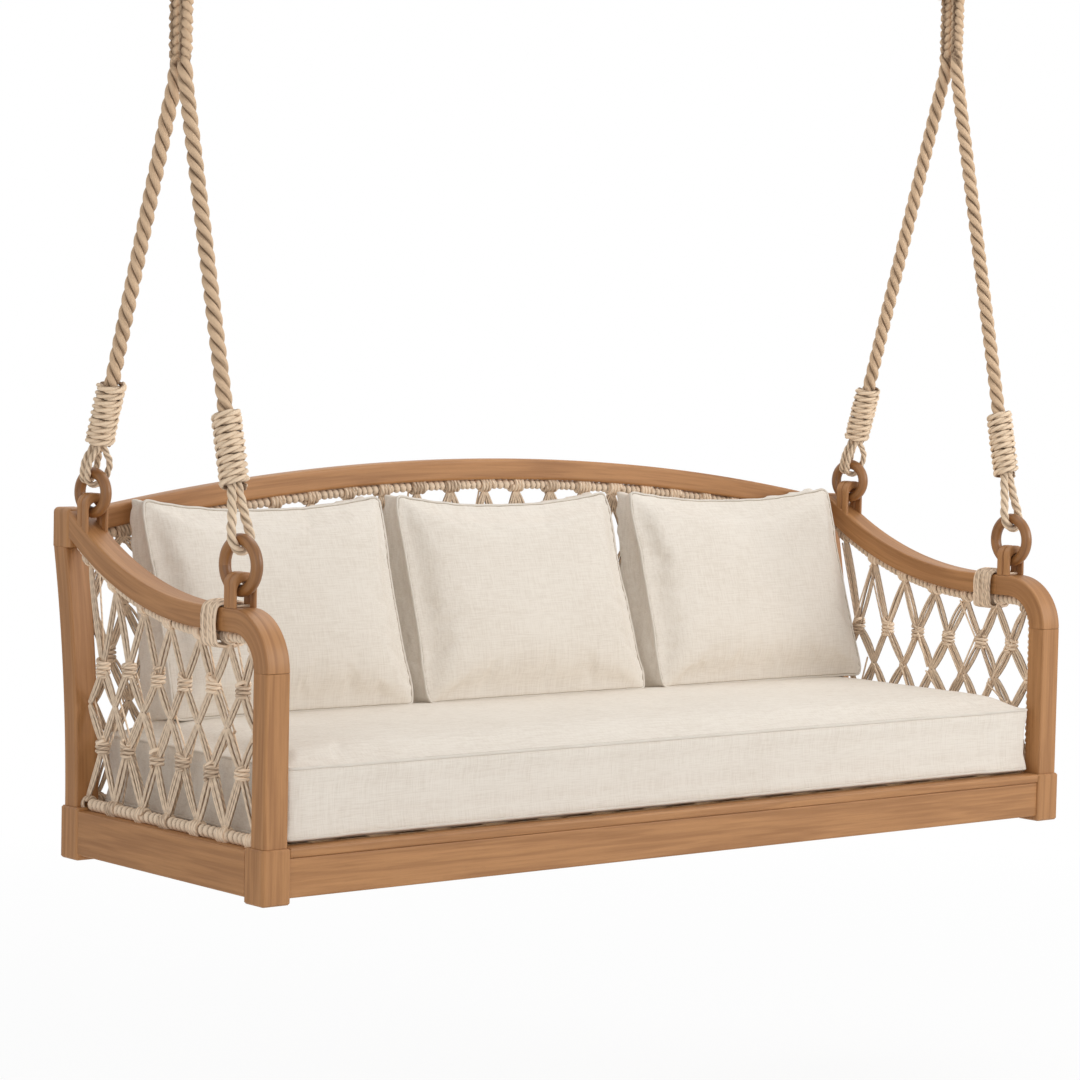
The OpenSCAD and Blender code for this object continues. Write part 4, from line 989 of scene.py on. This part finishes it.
def padded_form(name, top, bottom, nu, nv, layers=4):
    """A closed mesh between two skins, its sides in a few layers."""
    row, count = nu + 1, (nu + 1) * (nv + 1)
    upper, lower = skin(top, nu, nv), skin(bottom, nu, nv)
    rim = [*range(nu)] + [j * row + nu for j in range(nv)] \
        + [nv * row + i for i in range(nu, 0, -1)] + [j * row for j in range(nv, 0, -1)]
    points = [*upper, *lower]
    rings = [rim]
    for k in range(1, layers):
        t = k / layers
        rings.append([len(points) + i for i in range(len(rim))])
        points += [(1 - t) * upper[i] + t * lower[i] for i in rim]
    rings.append([i + count for i in rim])
    faces = []
    for j in range(nv):
        for i in range(nu):
            a = j * row + i
            faces += [(a, a + 1, a + row + 1, a + row),
                      (a + count, a + row + count, a + row + 1 + count, a + 1 + count)]
    for one, two in zip(rings, rings[1:]):
        for i in range(len(rim)):
            j = (i + 1) % len(rim)
            faces.append((one[i], two[i], two[j], one[j]))
    mesh = bpy.data.meshes.new(name)
    mesh.from_pydata([((p - HOME) * MM).tolist() for p in points], [], faces)
    return put(name, mesh), upper[rim], lower[rim]


def places(mesh):
    flat = np.empty(len(mesh.vertices) * 3, np.float32)
    mesh.vertices.foreach_get("co", flat)
    return flat.reshape(-1, 3).astype(float)


def set_places(mesh, spots):
    mesh.vertices.foreach_set("co", spots.astype(np.float32).ravel())
    mesh.update()


def near_rims(rims, points):
    """How far each point is from the nearest rim, in millimetres."""
    seams = np.concatenate([even(np.concatenate([rim, rim[:1]]), 8) for rim in rims])
    tree = KDTree(len(seams))
    for i, point in enumerate(seams):
        tree.insert(point, i)
    tree.balance()
    return np.array([tree.find(point)[2] for point in points])


def puff(made, voxel, cap, rims, hold):
    """Blows a cushion up as cloth, held at its rims. hold gives how far each point may go, as a
    share of cap."""
    at_rim, ease_in = 0.08, 48
    bpy.context.view_layer.objects.active = made
    remesh = made.modifiers.new("cells", "REMESH")
    remesh.mode, remesh.voxel_size = "VOXEL", voxel * MM
    bpy.ops.object.modifier_apply(modifier=remesh.name)
    start = places(made.data)
    cloth = made.modifiers.new("cloth", "CLOTH")
    cloth.settings.use_pressure = True
    cloth.settings.uniform_pressure_force = 4
    cloth.settings.effector_weights.gravity = 0
    for step in range(1, 21):
        bpy.context.scene.frame_set(step)
    moved = made.evaluated_get(bpy.context.evaluated_depsgraph_get())
    move = places(moved.data) - start
    made.modifiers.remove(cloth)
    bpy.context.scene.frame_set(1)
    far = np.linalg.norm(move, axis=1, keepdims=True)
    spots = start / MM + HOME
    free = np.clip(at_rim + near_rims(rims, spots) / ease_in, 0, 1)
    limit = cap * MM * (hold(spots) * free)[:, None]
    move *= limit * np.tanh(far / limit) / np.maximum(far, 1e-9)
    set_places(made.data, start + move)


def piped(name, cover, rims, thick, faces):
    """Piping sewn along a cushion's rims, and a thin dark tube on the panel beside it, a painted
    shadow of the stitching.
    faces gives, for each rim, the way its panel looks."""
    tree = BVHTree.FromObject(cover, bpy.context.evaluated_depsgraph_get())

    def on_cover(path):
        return np.array([tree.find_nearest((point - HOME) * MM)[0] for point in path]) / MM + HOME

    piping, seam_shadow = Shape(), Shape()
    for rim, face in zip(rims, faces):
        path = eased(even(np.concatenate([rim, rim[:1]]), 7)[:-1], 4)
        out = unit(np.cross(np.roll(path, -1, 0) - np.roll(path, 1, 0), face))
        out *= np.sign(((path - path.mean(0)) * out).sum())
        edge, panel = [eased(on_cover(run), 3) for run in
                       (path, path + 4 * face - (thick / 2 + 0.8) * out)]
        # The second tube, thin and dark, runs on the panel beside the piping as painted shadow.
        for shape, run, radius, sides in ((piping, edge + 1.2 * unit(out + face), thick / 2, 10),
                                          (seam_shadow, panel, 0.9, 6)):
            shape.sweep(run, circle(radius, sides), face, closed=True, tone_and_groove_shade=0.5)
    piece(name + "_piping", piping, "bed", PIPING)
    piece(name + "_seam", seam_shadow, "bed", PAINTED_SEAM_SHADOW)


def finish_cushion(made, node):
    made.data.shade_smooth()
    made.data.materials.append(LINEN)
    finer = made.modifiers.new("finer", "SUBSURF")
    finer.levels = finer.render_levels = 1
    bpy.context.view_layer.objects.active = made
    bpy.ops.object.modifier_apply(modifier=finer.name)
    bpy.context.view_layer.update()
    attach(made, "bed")
    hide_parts(node)


def swell(u, v, p, q):
    return (1 - abs(u)**p) * (1 - abs(v)**q)


def seat_cushion():
    """A boxed cushion that lies on the deck; its boxing and underside swell less than its top."""
    wide, y0, y1, low, high, draw = 990.0, 24.0, 646.0, 110.0, 243.0, 4.0
    top_rise, under_drop, underside, top = 12, 20, 150, 235

    def spot(u, v, z):
        return np.array([u * (wide - 3 - draw * (1 - v * v)),
                         (y0 + y1) / 2 + v * ((y1 - y0) / 2 - 3 - draw * (1 - u * u)), z])

    def hold(p):
        return np.where(p[:, 2] < underside, 0.6, np.where(p[:, 2] > top, 1.0, 0.45))

    made, upper, lower = padded_form(
        "seat_cushion_cover", lambda u, v: spot(u, v, high + top_rise * swell(u, v, 10, 4)),
        lambda u, v: spot(u, v, max(BLOCK_H + 0.8, low - under_drop * swell(u, v, 24, 16))), 90, 32)
    puff(made, 9, 24, [upper, lower], hold)
    surface = places(made.data)
    surface[:, 2] = np.maximum(surface[:, 2], (BLOCK_H + 0.6 - HANG_H) * MM)
    set_places(made.data, surface)
    finish_cushion(made, "seat_cushion")
    piped("seat_cushion", made, [upper, lower], 6.0, [UP, -UP])


def back_cushions():
    """Boxed cushions between a front that leans more and a back that leans less. Each front and
    back is a line in y and z; ends are the left and right x at its foot and at its top."""
    dip, draw, front_out, back_out = 26.0, 9.0, 18, -12
    lines = np.array([[[500, 271.5], [642, 700]], [[618, 254.5], [690, 700]]])

    def spot(edge, ends, u, v, out):
        t = (v + 1) / 2
        u, v = u * (1 - 0.035 * abs(v)**10), v * (1 - 0.04 * abs(u)**10)
        left, right = [low + (high - low) * t for low, high in zip(*ends)]
        place = edge[0] + t * (edge[1] - edge[0])
        way = unit(edge[1] - edge[0])
        low = dip * (1 - u * u) * t**3
        bulge = out * swell(u, v, 6, 4)
        return np.array([(left + right) / 2 + u * ((right - left) / 2 - 3 - draw * (1 - v * v)),
                         place[0] - bulge * way[1], place[1] - low + bulge * way[0]])

    for name, ends in (("left", ((-924, -321), (-919, -317))),
                       ("middle", ((-312, 303), (-302, 295))),
                       ("right", ((324, 956), (336, 964)))):
        made, upper, lower = padded_form(
            f"back_cushion_{name}_cover", lambda u, v: spot(lines[0], ends, u, v, front_out),
            lambda u, v: spot(lines[1], ends, u, v, back_out), 36, 28)

        def hold(p):
            depth = (p[:, 1] - 500) - (p[:, 2] - 271) * 0.33
            return np.where(depth > 60, 0.3, 1.0)

        puff(made, 7, 32, [upper, lower], hold)
        lean = unit(lines[0][1] - lines[0][0])
        front = np.array([0, -lean[1], lean[0]])
        finish_cushion(made, f"back_cushion_{name}")
        piped(f"back_cushion_{name}", made, [upper], 5.4, [front])


# ---------- the making ----------

corner_blocks()
posts_and_arms()
rails_and_aprons()
eyes()
polished_rings()
wrapped_canes()
side_nets()
back_net()
lashings()
ring_loops()
whippings()
seat_cushion()
back_cushions()

KEPT = {RAIL_WOOD: ("deck_cleats", "centre_stretcher"), SLAT_WOOD: ("seat_slats", "frame_dowels"),
        ZINC: ("wood_screws", "post_bolts"), SLEEVE: ("bolt_sleeves",),
        STEEL: ("thimble_left", "thimble_right", "hanger_link_left", "hanger_link_right",
                "swing_bolts", "ceiling_bracket_left", "ceiling_bracket_right")}
for finish, names in KEPT.items():
    for name in names:
        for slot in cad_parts[name].material_slots:
            slot.link = "OBJECT"
            slot.material = finish


# ---------- studio ----------

FLOOR_GAP = 600


def studio():
    """A pale floor, a white surround and soft lamps."""
    scene = bpy.context.scene
    scene.view_settings.view_transform = "Standard"
    world = bpy.data.worlds.new("studio")
    scene.world = world
    world.use_nodes = True
    nodes, links = world.node_tree.nodes, world.node_tree.links
    sky, white = nodes["Background"], nodes.new("ShaderNodeBackground")
    for surround, strength in ((sky, 0.52), (white, 1.0)):
        surround.inputs["Color"].default_value = (1, 1, 1, 1)
        surround.inputs["Strength"].default_value = strength
    rays, pick = nodes.new("ShaderNodeLightPath"), nodes.new("ShaderNodeMixShader")
    seen = rays.outputs["Is Camera Ray"]
    for kind in ("Is Glossy Ray", "Is Transmission Ray"):
        either = nodes.new("ShaderNodeMath")
        either.operation = "MAXIMUM"
        links.new(seen, either.inputs[0])
        links.new(rays.outputs[kind], either.inputs[1])
        seen = either.outputs[0]
    links.new(seen, pick.inputs[0])
    links.new(sky.outputs[0], pick.inputs[1])
    links.new(white.outputs[0], pick.inputs[2])
    links.new(pick.outputs[0], nodes["World Output"].inputs["Surface"])

    # The floor keeps a tenth of its shading under the part, for the shadow, and loses it far off
    near, fade, glow_near = 2.8, 0.045, 0.9
    pale = Finish("floor", Base_Color=(0.9, 0.9, 0.9, 1), Roughness=0.9)
    far = pale.node("ShaderNodeVectorMath", {"operation": "LENGTH"}, {0: pale.place()}, "Value")
    paler = far.math("MINIMUM", (far - near) * fade + glow_near, 1.0)
    share = pale.node("ShaderNodeLightPath", {}, {}, "Is Camera Ray") * paler
    glow = pale.node("ShaderNodeEmission", {}, {})
    both = pale.node("ShaderNodeMixShader", {}, {
        0: share, 1: Wire(pale, pale.shader.outputs[0]), 2: glow})
    pale.tree.links.new(both.socket, pale.tree.nodes["Material Output"].inputs["Surface"])
    mesh = bpy.data.meshes.new("floor")
    reach, level = 40, (-FLOOR_GAP - HANG_H) * MM
    corners = ((-1, -1), (1, -1), (1, 1), (-1, 1))
    mesh.from_pydata([(x * reach, y * reach, level) for x, y in corners], [], [(0, 1, 2, 3)])
    mesh.materials.append(pale.material)
    put("floor", mesh)

    for name, spot, target, size, power in (
            ("key", (3.2, -4.5, 0.2), (0.2, 0, -1.9), 2.6, 128),
            ("fill", (-4.5, -3.0, -0.8), (0, 0, -1.9), 3.5, 42),
            ("top", (0.5, 0.5, 1.6), (0, 0, -1.9), 3.0, 48)):
        lamp = bpy.data.lights.new(name, "AREA")
        lamp.size, lamp.energy = size, power
        holder = put(name, lamp)
        holder.location = spot
        holder.rotation_mode = "QUATERNION"
        holder.rotation_quaternion = (Vector(target) - Vector(spot)).to_track_quat("-Z", "Y")


studio()
